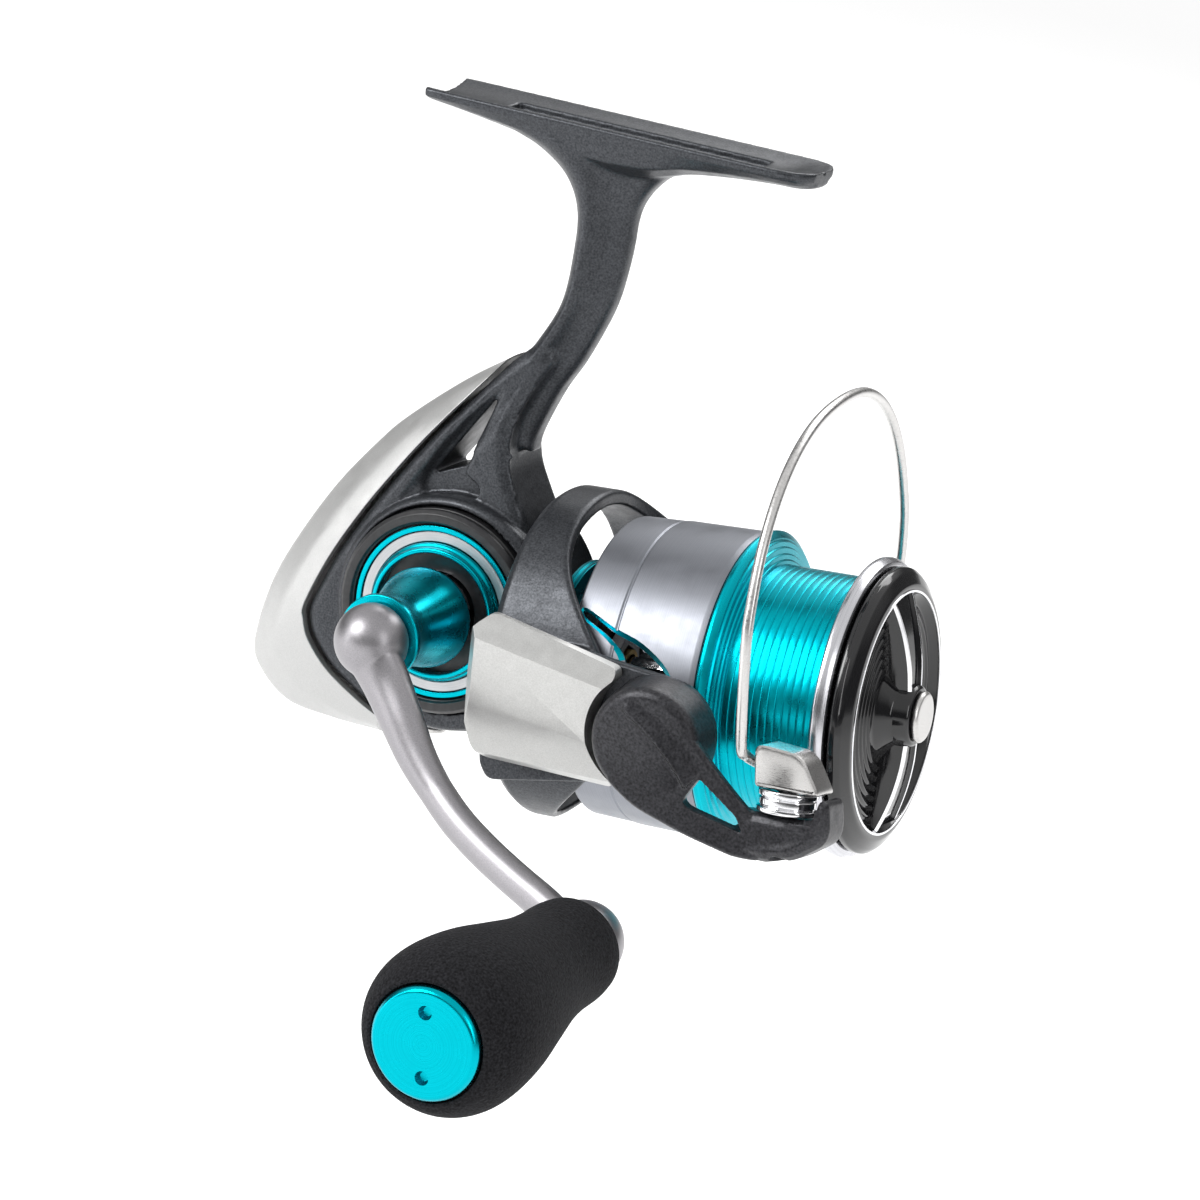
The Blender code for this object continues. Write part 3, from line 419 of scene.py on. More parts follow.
def ring(start, end, outer, inner, axis='X', centre=(0.0, 0.0, 0.0), soft=0.12, steps=128):
    return lathe([(start, inner), (start, outer), (end, outer), (end, inner)], axis, centre, soft,
                 steps)


def box(low, high):
    bm = bmesh.new()
    bmesh.ops.create_cube(bm, size=1.0)
    low, high = Vector(low), Vector(high)
    bmesh.ops.scale(bm, vec=high - low, verts=bm.verts)
    bmesh.ops.translate(bm, vec=(low + high) / 2, verts=bm.verts)
    return bm


def inset(outline, amount):
    """The outline moved inwards, corner by corner. Outlines run anticlockwise."""
    moved = []
    for i, corner in enumerate(outline):
        before, here = Vector(outline[i - 1]), Vector(corner)
        after = Vector(outline[(i + 1) % len(outline)])
        in_dir, out_dir = (here - before).normalized(), (after - here).normalized()
        normal = Vector((-in_dir.y - out_dir.y, in_dir.x + out_dir.x))
        scale = 2.0 * amount / max(normal.length_squared, 0.8)
        moved.append(here + normal * scale)
    return moved


def plate(outline, levels):
    """An outline in X and Z stacked along Y at (level, inset) pairs."""
    sections = []
    for level, amount in levels:
        line = inset(outline, amount) if amount else outline
        sections.append([Vector((p[0], level, p[1])) for p in line])
    return skin(sections)


def arc(centre_x, centre_z, radius, start, end, steps):
    angles = [math.radians(start + (end - start) * i / steps) for i in range(steps + 1)]
    return [(centre_x + radius * math.cos(a), centre_z + radius * math.sin(a)) for a in angles]


def lean(bm):
    """Leans a mesh over as the line roller's axis leans."""
    for vert in bm.verts:
        vert.co.z -= ROLLER_SLOPE * (vert.co.y - ROLLER_CENTRE.y)
    return bm


# ---- Objects ----

def work_object(bm):
    bmesh.ops.recalc_face_normals(bm, faces=bm.faces)
    mesh = bpy.data.meshes.new("work")
    bm.to_mesh(mesh)
    bm.free()
    made = bpy.data.objects.new("work", mesh)
    bpy.context.scene.collection.objects.link(made)
    return made


def apply_modifiers(target):
    graph = bpy.context.evaluated_depsgraph_get()
    mesh = bpy.data.meshes.new_from_object(target.evaluated_get(graph))
    target.modifiers.clear()
    old, target.data = target.data, mesh
    bpy.data.meshes.remove(old)


def boolean(target, bm, operation):
    """Joins a mesh to the target or cuts it away."""
    other = work_object(bm)
    change = target.modifiers.new("change", 'BOOLEAN')
    change.operation = operation
    change.solver = 'MANIFOLD'
    change.object = other
    apply_modifiers(target)
    bpy.data.objects.remove(other)


def cast(start, steps, voxel, passes):
    """One smooth casting from a mesh or an earlier casting. Steps are (operation, mesh) pairs,
    and every edge ends up rounded."""
    work = start if isinstance(start, bpy.types.Object) else work_object(start)
    for operation, bm in steps:
        boolean(work, bm, operation)
    remesh = work.modifiers.new("remesh", 'REMESH')
    remesh.mode = 'VOXEL'
    remesh.voxel_size = voxel
    smooth = work.modifiers.new("smooth", 'SMOOTH')
    smooth.factor = 0.5
    smooth.iterations = passes
    apply_modifiers(work)
    return work


def piece(name, shape, body, finish, stands_for=None, at=(0.0, 0.0, 0.0), place=DRIVE,
          bevel=0.0, sharp=30.0, level=False):
    """A finished piece: its mesh in metres about "at", riding on its body. A level piece keeps
    its mesh in the row frame, so that its box is a close one."""
    made = shape if isinstance(shape, bpy.types.Object) else work_object(shape)
    made.name = made.data.name = name
    made.data.transform(Matrix.Scale(MM, 4) @ Matrix.Translation(-Vector(at)))
    if level:
        made.data.transform(place)
        place = Matrix.Identity(4)
    if not any(made.data.materials):
        made.data.materials.clear()
        made.data.materials.append(FINISHES[finish])
    made.matrix_world = place @ Matrix.Translation(Vector(at) * MM)
    made.data.shade_smooth()
    if bevel:
        edges = made.modifiers.new("bevel", 'BEVEL')
        edges.width = bevel * MM
        edges.segments = 3
        edges.limit_method = 'ANGLE'
        edges.angle_limit = math.radians(25)
        edges.harden_normals = True
        made.data.set_sharp_from_angle(angle=math.radians(60))
    else:
        made.data.set_sharp_from_angle(angle=math.radians(sharp))
    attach(made, body)
    if stands_for:
        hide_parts(stands_for)


def wire(name, points, radius, body, finish, stands_for, place):
    curve = bpy.data.curves.new(name, 'CURVE')
    curve.dimensions = '3D'
    curve.bevel_depth = radius * MM
    curve.bevel_resolution = 6
    curve.use_fill_caps = True
    spline = curve.splines.new('POLY')
    spline.points.add(len(points) - 1)
    for target, point in zip(spline.points, points):
        target.co = (*(Vector(point) * MM), 1.0)
    made = bpy.data.objects.new(name, curve)
    bpy.context.scene.collection.objects.link(made)
    curve.materials.append(FINISHES[finish])
    made.matrix_world = place
    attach(made, body)
    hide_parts(stands_for)


# ---- Body: foot, stem, housing, guard ----

BODY_OUTLINE = [
    (13.0, 43.5), (9.0, 46.6), (6.8, 45.4), (1.6, 39.4), (-4.7, 32.4), (-9.0, 27.2),
    (-14.6, 19.9), (-20.2, 11.4), (-24.3, 3.1), (-24.4, 0.5), (-23.4, -2.6), (-20.0, -6.8),
    (-14.6, -10.7), (-10.7, -12.9), (-1.0, -14.1), (6.0, -13.2), (14.0, -7.0), (16.0, 8.0),
    (13.0, 20.0), (10.2, 26.0), (8.9, 29.0), (8.5, 33.0), (9.2, 37.0), (10.8, 40.4),
]
WEB_OUTLINE = [(15.4, 47.6), (11.2, 48.8), (8.0, 46.3), *BODY_OUTLINE[3:-1], (11.6, 41.6)]
GUARD_RIDGE = [
    (6.6, 46.1), (-1.6, 41.2), (-11.4, 33.9), (-16.6, 28.9), (-22.9, 21.7), (-28.9, 13.0),
    (-33.3, 5.0), (-36.0, -3.7), (-35.9, -9.2), (-30.4, -14.8), (-22.0, -16.5), (-12.6, -17.2),
]
HOUSING_CENTRE = Vector((0.5, 0.0, 5.6))


def foot_point(u, v, w):
    x = FOOT_CENTRE[0] + u * math.cos(FOOT_TILT) + w * math.sin(FOOT_TILT)
    z = FOOT_CENTRE[1] - u * math.sin(FOOT_TILT) + w * math.cos(FOOT_TILT)
    return Vector((x, v, z))


def make_foot():
    """The foot lofted along the rod: a hollow-topped bar, thickest over the stem."""
    full = FOOT_HALF_WIDTH
    stations = [                # along the rod, half width, thickness, depth of the hollow
        (-31.8, 7.4, 2.2, 1.2), (-31.2, 7.6, 2.5, 1.2), (-26.0, full, 3.1, 1.2),
        (-17.0, full, 4.4, 1.2), (-10.0, full, 5.8, 1.2), (-3.0, full, 7.0, 1.2),
        (5.0, full, 6.6, 1.2), (11.0, full, 4.8, 1.2), (18.0, full, 3.7, 1.2),
        (24.6, full, 3.1, 1.2), (28.2, 7.3, 3.0, 0.6), (30.0, 5.9, 2.8, 0.35), (31.0, 3.8, 2.4, 0.2),
    ]
    path = smooth_path([Vector(s[:3]) for s in stations], 5)
    depths = smooth_path([Vector((s[3], 0, 0)) for s in stations], 5)
    sections = []
    for station, deep in zip(path, depths):
        u, half, thick = station
        half = min(half, full)
        rim = half - 0.9
        channel = [(rim * k / 6, -deep.x * (1 - (k / 6) ** 2)) for k in range(7)]
        side = [(half - 0.35, 0.0), (half, -0.4), (half - 0.25, -1.3), (half - 1.5, -0.72 * thick),
                (0.5 * half, -0.94 * thick), (0.2 * half, -thick)]
        right = channel + side
        left = [(-v, w) for v, w in reversed(right[1:])]
        sections.append([foot_point(u, v, w) for v, w in right + left])
    return skin(sections)


def make_stem():
    """The stem: a rounded back with a soft ridge on each side, and hollow flanks to the front."""
    stations = [                # back edge, front edge, half thickness
        ((2.2, 36.6), (10.6, 31.0), 6.0), ((3.4, 39.0), (11.0, 34.0), 6.0),
        ((7.0, 44.2), (14.4, 41.2), 5.8), ((10.4, 48.8), (18.0, 46.8), 5.3),
        ((14.2, 55.5), (22.2, 55.4), 4.9), ((15.6, 63.4), (24.2, 63.4), 4.7),
        ((15.8, 70.0), (25.2, 70.2), 4.8), ((13.6, 75.2), (27.8, 74.4), 5.5),
        ((9.0, 79.0), (32.0, 77.4), 6.4), ((4.0, 81.2), (38.0, 79.2), 7.0),
    ]
    shape = [(0.0, 0.35), (0.05, 0.70), (0.16, 0.95), (0.28, 1.06), (0.36, 0.96), (0.48, 0.75),
             (0.62, 0.60), (0.76, 0.52), (0.88, 0.47), (0.96, 0.38), (1.0, 0.22)]
    shape += [(t, -w) for t, w in reversed(shape)]
    backs = smooth_path([Vector((b[0], 0, b[1])) for b, _, _ in stations], 6)
    fronts = smooth_path([Vector((f[0], 0, f[1])) for _, f, _ in stations], 6)
    halves = smooth_path([Vector((h, 0, 0)) for _, _, h in stations], 6)
    sections = []
    for back, front, half in zip(backs, fronts, halves):
        sections.append([back + (front - back) * t + Vector((0, half.x * w, 0)) for t, w in shape])
    return skin(sections)


def make_body():
    outline = rounded(WEB_OUTLINE, 2.0, 3)
    web = plate(outline, [(-7.4, 1.6), (-6.8, 0.6), (-6.0, 0.0), (6.0, 0.0), (6.8, 0.6), (7.4, 1.6)])
    for vert in web.verts:
        if vert.co.z > 34.0:
            vert.co.y *= 1.0 - 0.021 * (vert.co.z - 34.0)
    recess = rounded([(7.6, 42.4), (3.0, 37.6), (-2.4, 31.0), (-5.6, 26.0), (-5.0, 17.0),
                      (10.4, 17.0), (6.4, 24.6), (2.9, 29.2), (3.5, 33.6), (5.6, 38.0)], 1.5, 3)
    trunk = [('UNION', make_stem()), ('UNION', make_foot())]
    for low, high in ((-12.0, -5.4), (5.4, 12.0)):
        trunk.append(('DIFFERENCE', plate(recess, [(low, 0.0), (high, 0.0)])))
    blended = cast(web, trunk, voxel=0.36, passes=16)

    window = rounded([(6.6, 41.0), (-4.6, 26.6), (1.6, 28.8)], 0.8, 3)
    rear_pocket = [(-22.6, 3.0), (-18.9, 11.2), (-12.6, 18.0), (0.0, 19.0), (0.0, -9.0),
                   (-10.0, -10.4), (-17.8, -6.6), (-21.7, -2.0)]
    housing = [(-9.8, 0.0), (-9.8, 17.4), (-9.4, 18.2, 0.6), (-8.6, 18.6), (8.6, 18.6),
               (9.4, 18.2, 0.6), (9.8, 17.4), (9.8, 0.0)]
    slot = [(-20.5, -2.9), (21.5, -2.9), (21.5, 2.9), (-20.5, 2.9)]
    steps = [
        ('UNION', lathe(housing, 'Y', HOUSING_CENTRE, 0.4, 96)),
        ('UNION', rod(6.0, 21.9, 9.6)),
        ('UNION', make_foot()),
        ('DIFFERENCE', plate(rear_pocket, [(-5.6, 0.0), (6.9, 0.0)])),
        ('DIFFERENCE', plate(window, [(-14.0, 0.0), (14.0, 0.0)])),
        ('DIFFERENCE', rod(-12.0, -8.4, 16.5, 'Y', HANDLE_AXIS, steps=96)),
        ('DIFFERENCE', rod(-9.0, 7.7, 15.7, 'Y', HANDLE_AXIS, steps=96)),
        ('DIFFERENCE', rod(7.0, 11.0, 6.4, 'Y', HANDLE_AXIS)),
        ('DIFFERENCE', rod(9.7, 13.0, 8.9, 'Y', HANDLE_AXIS)),
        ('DIFFERENCE', rod(8.8, 24.0, 7.2)),
        ('DIFFERENCE', skin([[foot_point(u, v, w) for u, v in slot] for w in (-2.3, 1.0)])),
    ]
    piece("body_casting", cast(blended, steps, voxel=0.28, passes=3), "frame", "paint",
          "body_frame", sharp=180, level=True)


def make_guard():
    """The silver cover over the back of the body: two facets each side, meeting at a ridge."""
    wall = 1.5
    rims = smooth_path([(*p, 0.0) for p in inset(BODY_OUTLINE, -1.2 * GAP)[2:14]], 6)
    ridges = smooth_path([(*p, 0.0) for p in GUARD_RIDGE], 6)
    sections = []
    for i, (rim, ridge) in enumerate(zip(rims, ridges)):
        rim, ridge = rim.to_2d(), ridge.to_2d()
        depth = ridge - rim
        inward = -depth.normalized()
        crease = rim + 0.5 * depth
        half = 5.0 + 2.3 * min(1.0, i / 8)
        hollow_ridge = ridge + inward * min(wall, 0.4 * depth.length)
        hollow_crease = crease + inward * min(0.6, 0.2 * depth.length)
        outside = [(rim, half, 0.25), (crease, 0.80 * half, 1.2), (ridge, 0.26 * half, 1.6)]
        inside = [(hollow_ridge, 0.16 * half, 0.2), (hollow_crease, 0.78 * half - wall, 0.3),
                  (rim, half - wall, 0.25)]
        loop = outside + [(p, -y, r) for p, y, r in reversed(outside)]
        loop += [(p, -y, r) for p, y, r in reversed(inside)] + inside
        sections.append(rounded([(p.x, y, p.y, r) for p, y, r in loop], 0.3))
    piece("guard_shell", skin(sections), "frame", "guard", "rear_guard", sharp=50,
          level=True)
    screw = work_object(rod(-0.8, 0.0, 2.0, 'Z', (-4.5, 0.0, -15.2), 0.2))
    for low, high in (((-5.7, -0.3), (-3.3, 0.3)), ((-4.8, -1.2), (-4.2, 1.2))):
        boolean(screw, box((*low, -16.2), (*high, -15.6)), 'DIFFERENCE')
    piece("guard_screw_head", screw, "frame", "steel", "guard_screw")


def make_housing():
    gear = HANDLE_AXIS
    cover = [(-8.7, 6.3), (-8.7, 16.1), (-10.2, 16.1), (-10.3, 15.85), (-10.6, 15.85),
             (-10.7, 16.1), (-11.5, 16.1), (-12.2, 15.5), (-12.2, 14.3), (-11.6, 14.1),
             (-11.5, 13.9), (-10.4, 13.85), (-10.4, 6.3)]
    piece("side_plate", lathe(cover, 'Y', gear, 0.15), "frame", "plastic",
          "engine_plate", at=gear)
    piece("trim_outer", ring(-11.5, -10.7, 13.6, 12.75, 'Y', gear, 0.18), "frame", "cyan_y",
          "trim_ring_outer", at=gear)
    piece("trim_flat", ring(-11.2, -10.7, 12.6, 11.1, 'Y', gear, 0.1), "frame", "band_y",
          "trim_band", at=gear)
    inner = [(-10.7, 9.5), (-10.7, 10.95), (-11.7, 10.95, 0.5), (-12.0, 10.5, 0.1),
             (-12.15, 10.4, 0.1), (-12.9, 10.25, 0.5), (-12.9, 9.5, 0.3)]
    piece("trim_bead", lathe(inner, 'Y', gear, 0.2), "frame", "cyan_y",
          "trim_ring_inner", at=gear)
    cap = [(10.1, 0.0), (10.1, 8.6), (11.4, 8.6), (12.4, 7.6), (12.4, 6.4), (12.0, 6.2),
           (12.0, 4.6), (12.4, 4.4), (12.4, 0.0)]
    socket = work_object(lathe(cap, 'Y', gear, 0.25))
    boolean(socket, box((-3.6, 11.3, gear.z - 0.7), (3.6, 14.0, gear.z + 0.7)), 'DIFFERENCE')
    piece("socket_cover", socket, "frame", "plastic", "socket_cap", at=gear,
          bevel=0.12)
    seal = [(19.5, 9.9), (19.5, 14.4), (20.3, 15.4), (20.9, 15.4), (21.0, 15.15), (21.2, 15.15),
            (21.3, 15.4), (21.9, 15.4), (21.9, 9.9)]
    piece("seal_collar", lathe(seal, 'X', soft=0.15), "frame", "cyan_x",
          "seal_ring")
    for node, start, end, bore, finish, slot in (
            ("front_bearing", 15.4, 17.2, 3.2, "chrome", "polished_steel"),
            ("one_way_clutch", 17.5, 21.6, 4.0, "zinc", "zinc")):
        piece(node + "_ring", ring(start, end, 6.8, bore), "frame", finish, node)


# ---- Handle and knob ----

ARM_PATH = [
    (0.4, -34.2, 5.6), (3.8, -34.9, 1.2), (7.9, -36.9, -4.0), (11.4, -38.6, -8.4),
    (15.6, -40.4, -12.3), (20.5, -42.7, -15.7), (26.2, -45.3, -18.4), (32.1, -47.9, -20.6),
    (37.9, -50.3, -22.6), (43.0, -52.4, -24.8), (46.3, -53.6, -26.2),
]


def make_handle():
    shank = [(-12.6, 2.2), (-12.6, 6.4), (-14.0, 6.6, 0.5), (-14.6, 7.7, 0.4), (-15.4, 7.9, 0.8),
             (-18.4, 7.1, 1.5), (-22.0, 6.0, 1.5), (-25.0, 5.35, 1.5), (-27.3, 5.4, 1.0),
             (-28.7, 5.9, 0.5), (-29.1, 6.1, 0.1), (-29.3, 6.6, 0.2), (-30.5, 6.6, 0.3),
             (-30.5, 2.2)]
    piece("shank_turning", lathe(shank, 'Y', HANDLE_AXIS, 0.2), "handle", "cyan_y",
          "handle_shank", at=HANDLE_AXIS)
    centre, radius = -32.6, 5.75
    head = [(-30.8, 0.0), (-30.8, 5.3)]
    for degrees in range(78, 180, 6):
        angle = math.radians(degrees)
        head.append((centre + radius * math.cos(angle), radius * math.sin(angle)))
    head.append((centre - radius, 0.0))
    path = smooth_path(ARM_PATH, 6)
    sections = []
    for i, here in enumerate(path):
        share = i / (len(path) - 1)
        ahead = (path[min(i + 1, len(path) - 1)] - path[max(i - 1, 0)]).normalized()
        outward = Vector((0.0, 1.0, 0.0))
        outward = (outward - ahead * outward.dot(ahead)).normalized()
        across = ahead.cross(outward)
        wide = 4.3 - 1.6 * min(1.0, share / 0.4) + 1.6 * max(0.0, share - 0.75)
        thick = 3.2 - 0.8 * min(1.0, share / 0.4)
        turn = [2 * math.pi * corner / 32 for corner in range(32)]
        sections.append([here + across * wide * math.cos(a) + outward * thick * math.sin(a)
                         for a in turn])
    boss = [(-47.4, 0.0), (-47.6, 1.6), (-48.4, 3.4), (-49.8, 4.9), (-51.6, 5.8), (-53.6, 6.2),
            (-55.4, 6.1), (-56.3, 5.4), (-56.3, 0.0)]
    steps = [('UNION', skin(sections)), ('UNION', lathe(boss, 'Y', KNOB_AXIS, 0.8, 96))]
    start = lathe(head, 'Y', HANDLE_AXIS, 0.3, 96)
    piece("crank_arm", cast(start, steps, voxel=0.22, passes=14), "handle", "gunmetal",
          "handle_arm", sharp=180)


def make_knob():
    grip = [(KNOB_INNER, 5.2), (KNOB_INNER, 6.9), (-57.8, 7.7), (-60.5, 8.0), (-66.0, 8.1),
            (-72.0, 8.7), (-80.0, 10.2), (-88.0, 11.7), (-95.0, 12.3), (-99.5, 11.8),
            (-102.8, 10.2), (KNOB_OUTER, 8.9), (KNOB_OUTER, 8.4), (-102.8, 8.4), (-102.8, 5.2)]
    curve = smooth_path([(p[0], p[1], 0) for p in grip[2:12]], 8)
    fine = grip[:2] + [(p.x, p.y) for p in curve] + grip[12:]
    piece("foam_grip", lathe(fine, 'Y', KNOB_AXIS, 0.05, 160), "knob", "foam", "knob_grip",
          at=KNOB_AXIS)
    cap = [(-103.1, 0.0), (-103.1, 8.05), (-104.4, 8.05), (-105.1, 7.5), (-105.1, 0.0)]
    disc = work_object(lathe(cap, 'Y', KNOB_AXIS, 0.35, 160))
    for side in (-1, 1):
        dimple = [(-104.0, 0.0), (-104.0, 0.7), (-105.6, 1.15), (-105.6, 0.0)]
        centre = KNOB_AXIS + Vector((0.1, 0.0, side * 4.6))
        boolean(disc, lathe(dimple, 'Y', centre, 0.1, 40), 'DIFFERENCE')
    piece("end_cap", disc, "knob", "cyan_y", "knob_end_cap", at=KNOB_AXIS)


# ---- Rotor and bail ----

def arm_outline(rear, half_rear, half_front, nose):
    return ([(rear + 1.5, -half_rear), (BAIL_PIVOT_X - 8.0, -half_front)]
            + arc(BAIL_PIVOT_X, 0.0, nose, -75, 75, 24)
            + [(BAIL_PIVOT_X - 8.0, half_front), (rear + 1.5, half_rear), (rear, half_rear - 2.5),
               (rear, -half_rear + 2.5)])


def make_rotor_casting():
    hub = lathe([(22.3, 0.0), (22.3, 9.4), (25.0, 9.4), (25.5, 8.9), (25.5, 0.0)])
    sections = []
    for step in range(144):
        angle = 2 * math.pi * step / 144
        beside_arm = abs(math.cos(angle)) ** 4.5
        below = max(0.0, -math.sin(angle))
        radius = HOOP_RADIUS - 3.0 * below ** 6
        inner = min(SKIRT_RADIUS + 0.4, radius - 1.2)
        rear = 15.9 + 3.4 * below ** 2
        front = 23.0 - 1.2 * below ** 2 + 14.5 * beside_arm
        shape = [(rear, radius - 0.8), (rear + 1.2, radius), (front - 0.5, radius),
                 (front, radius - 0.4), (front, inner + 0.2), (front - 0.3, inner), (rear, inner)]
        sections.append([Vector((x, r * math.cos(angle), r * math.sin(angle))) for x, r in shape])
    steps = [('UNION', hub), ('UNION', box((22.3, -25.6, -7.0), (25.2, 25.6, 7.0)))]
    outline = rounded(arm_outline(15.6, 12.6, 9.4, 8.3), 1.2, 3)
    for side in (-1, 1):
        low, high = sorted((side * (ARM_INNER - 0.3), side * ARM_OUTER))
        steps.append(('UNION', plate(outline, [(low, 0.3), (low + 0.3, 0.0), (high - 0.3, 0.0),
                                               (high, 0.3)])))
    steps.append(('DIFFERENCE', rod(20.0, 27.0, 2.9)))
    for height in (-3.8, 3.8):
        for side in (-1, 1):
            low, high = sorted((side * 10.5, side * 21.0))
            steps.append(('DIFFERENCE', box((20.0, low, height - 1.6), (27.0, high, height + 1.6))))
    hoop = skin(sections, loop=True)
    piece("rotor_casting", cast(hoop, steps, voxel=0.26, passes=4), "rotor", "paint",
          "rotor_frame", place=ROTOR, sharp=180)


def cover_outline():
    return ([(17.0, -8.6), (38.4, -9.4)] + arc(BAIL_PIVOT_X, 0.0, 10.2, 230, 130, 24)
            + [(38.6, 9.2), (18.0, 14.4), (15.6, 12.4), (14.8, 5.0), (14.8, -2.0), (15.4, -6.6)])


def make_cover(name, node, side):
    """A faceted cover: a flat face with a long bevel above, one below and one at its end."""
    outline = rounded(cover_outline(), 1.0, 3)
    low, high = sorted((side * (ARM_OUTER + GAP), side * COVER_OUTER))
    bm = plate(outline, [(low, 0.0), (high, 0.0)])
    bmesh.ops.recalc_face_normals(bm, faces=bm.faces)
    facets = [                  # a point on each facet and the way it faces, for a +Y cover
        ((16.6, 32.0, 11.3), (0.16, 0.62, 0.75)), ((16.2, 32.0, 1.8), (-0.06, 0.95, -0.30)),
        ((16.0, 29.4, -7.2), (-0.05, 0.60, -0.80)), ((16.4, 32.0, 4.0), (-0.80, 0.60, 0.05)),
    ]
    for point, facing in facets:
        plane_co = Vector((point[0], side * point[1], point[2]))
        plane_no = Vector((facing[0], side * facing[1], facing[2])).normalized()
        cut = bmesh.ops.bisect_plane(bm, geom=bm.verts[:] + bm.edges[:] + bm.faces[:],
                                     plane_co=plane_co, plane_no=plane_no, clear_outer=True)
        rim = [e for e in cut["geom_cut"] if isinstance(e, bmesh.types.BMEdge)]
        bmesh.ops.contextual_create(bm, geom=rim)
    piece(name, bm, "rotor", "silver", node, place=ROTOR, bevel=0.45)


def make_rotor():
    make_rotor_casting()
    make_cover("cover_near", "arm_cover_near", -1)
    make_cover("cover_far", "arm_cover_far", 1)
    nut = lathe([(25.8, 3.35), (25.8, 5.2), (28.0, 5.2), (28.0, 3.35)], 'X', soft=0.0, steps=6)
    piece("hub_nut", nut, "rotor", "zinc", "rotor_nut", place=ROTOR, bevel=0.2)
    screw = work_object(lathe([(37.7, 0.0), (37.7, 2.4), (37.4, 3.0), (36.8, 3.0), (36.8, 2.0),
                               (25.6, 2.0), (25.6, 0.0)], 'Y', BAIL_AXIS, 0.2))
    boolean(screw, lathe([(36.9, 0.0), (36.9, 1.3), (39.0, 1.3), (39.0, 0.0)], 'Y', BAIL_AXIS,
                         0.0, 6), 'DIFFERENCE')
    piece("pivot_screw_far", screw, "rotor", "steel", "bail_screw_far",
          place=ROTOR)


def bail_curve():
    near = [(66.6, -31.6, -0.2), (65.2, -31.6, -0.2), (63.3, -31.7, -0.2), (62.4, -32.4, 0.2),
            (62.0, -34.7, 1.7), (62.3, -37.6, 4.6)]
    far = [(58.0, 37.0, 10.4), (56.2, 36.5, 8.6), (54.2, 35.5, 6.8), (53.2, 34.8, 5.2),
           (53.0, 34.7, 3.4), (53.0, 34.7, 1.0)]
    arch = []
    for step in range(1, 16):
        angle = math.pi * (1 - step / 16)
        bend = 2 / 2.3
        across = math.copysign(abs(math.cos(angle)) ** bend, math.cos(angle))
        y = -0.8 + 37.8 * across
        arch.append((60.5 - 0.05 * y, y, 10.0 + 36.7 * math.sin(angle) ** bend))
    return smooth_path(near + arch + far, 8)


def make_lever():
    dome = [(-LEVER_OUTER - 0.5, 0.0), (-LEVER_OUTER - 0.4, 4.0), (-LEVER_OUTER - 0.1, 7.4),
            (-LEVER_OUTER + 0.5, 8.3), (-LEVER_OUTER + 1.4, 8.6), (-27.1, 9.0), (-27.1, 0.0)]
    edge = rounded([(54.0, 1.6), (50.5, 4.0), (45.4, 5.0), (40.5, -2.4), (39.2, -5.8),
                    (42.6, -8.6), (45.0, -10.0), (52.5, -12.6), (60.4, -14.6), (65.0, -14.5),
                    (66.0, -7.8), (63.0, -7.6), (60.6, -5.4), (56.6, -1.4)], 1.6)
    tip = rounded([(59.6, -7.8), (60.4, -15.2), (65.6, -15.1), (70.5, -13.5), (74.6, -10.6),
                   (75.4, -8.4), (75.0, -3.9), (73.4, -3.9), (72.8, -7.2)], 1.2)
    window = rounded([(54.6, -3.4), (52.0, -7.4), (53.0, -8.3), (61.8, -10.6), (60.6, -8.2)],
                     0.6, 3)
    outer = -LEVER_OUTER
    tip_levels = [(-35.8, 1.6), (-35.2, 0.6), (-34.2, 0.0), (-28.4, 0.0), (-27.6, 0.6)]
    sweep = lean(plate(tip, tip_levels))
    for vert in sweep.verts:
        if vert.co.y < outer + 0.4:
            vert.co.y += 1.7 * (1.0 - min(1.0, max(0.0, (vert.co.x - 61.0) / 8.0)))
    ridge = []
    line = [Vector((42.2, 0, 5.4)), Vector((46.7, 0, 2.4)), Vector((50.7, 0, -1.5)),
            Vector((53.0, 0, -4.7))]
    for i, crest in enumerate(smooth_path(line, 5)):
        rise = 1.15 * math.sin(math.pi * min(1.0, (i + 1) / 8) / 2)
        ridge.append([crest + Vector(offset) for offset in (
            (2.6, outer + 0.5, 3.2), (0.0, outer - 0.3 - rise, 0.0), (-0.9, outer + 0.5, -1.1))])
    steps = [
        ('UNION', plate(edge, [(outer, 0.5), (outer + 0.4, 0.0), (-32.7, 0.0), (-32.3, 0.4)])),
        ('UNION', sweep),
        ('UNION', skin(ridge)),
        ('DIFFERENCE', plate(window, [(-40.0, 0.0), (-30.0, 0.0)])),
        ('DIFFERENCE', rod(-12.0, 12.0, 1.8, ROLLER_AXIS, ROLLER_CENTRE)),
    ]
    hub = lathe(dome, 'Y', BAIL_AXIS, 0.4, 112)
    piece("lever_casting", cast(hub, steps, voxel=0.2, passes=4), "bail", "lever_paint",
          "bail_lever", place=ROTOR, sharp=180)


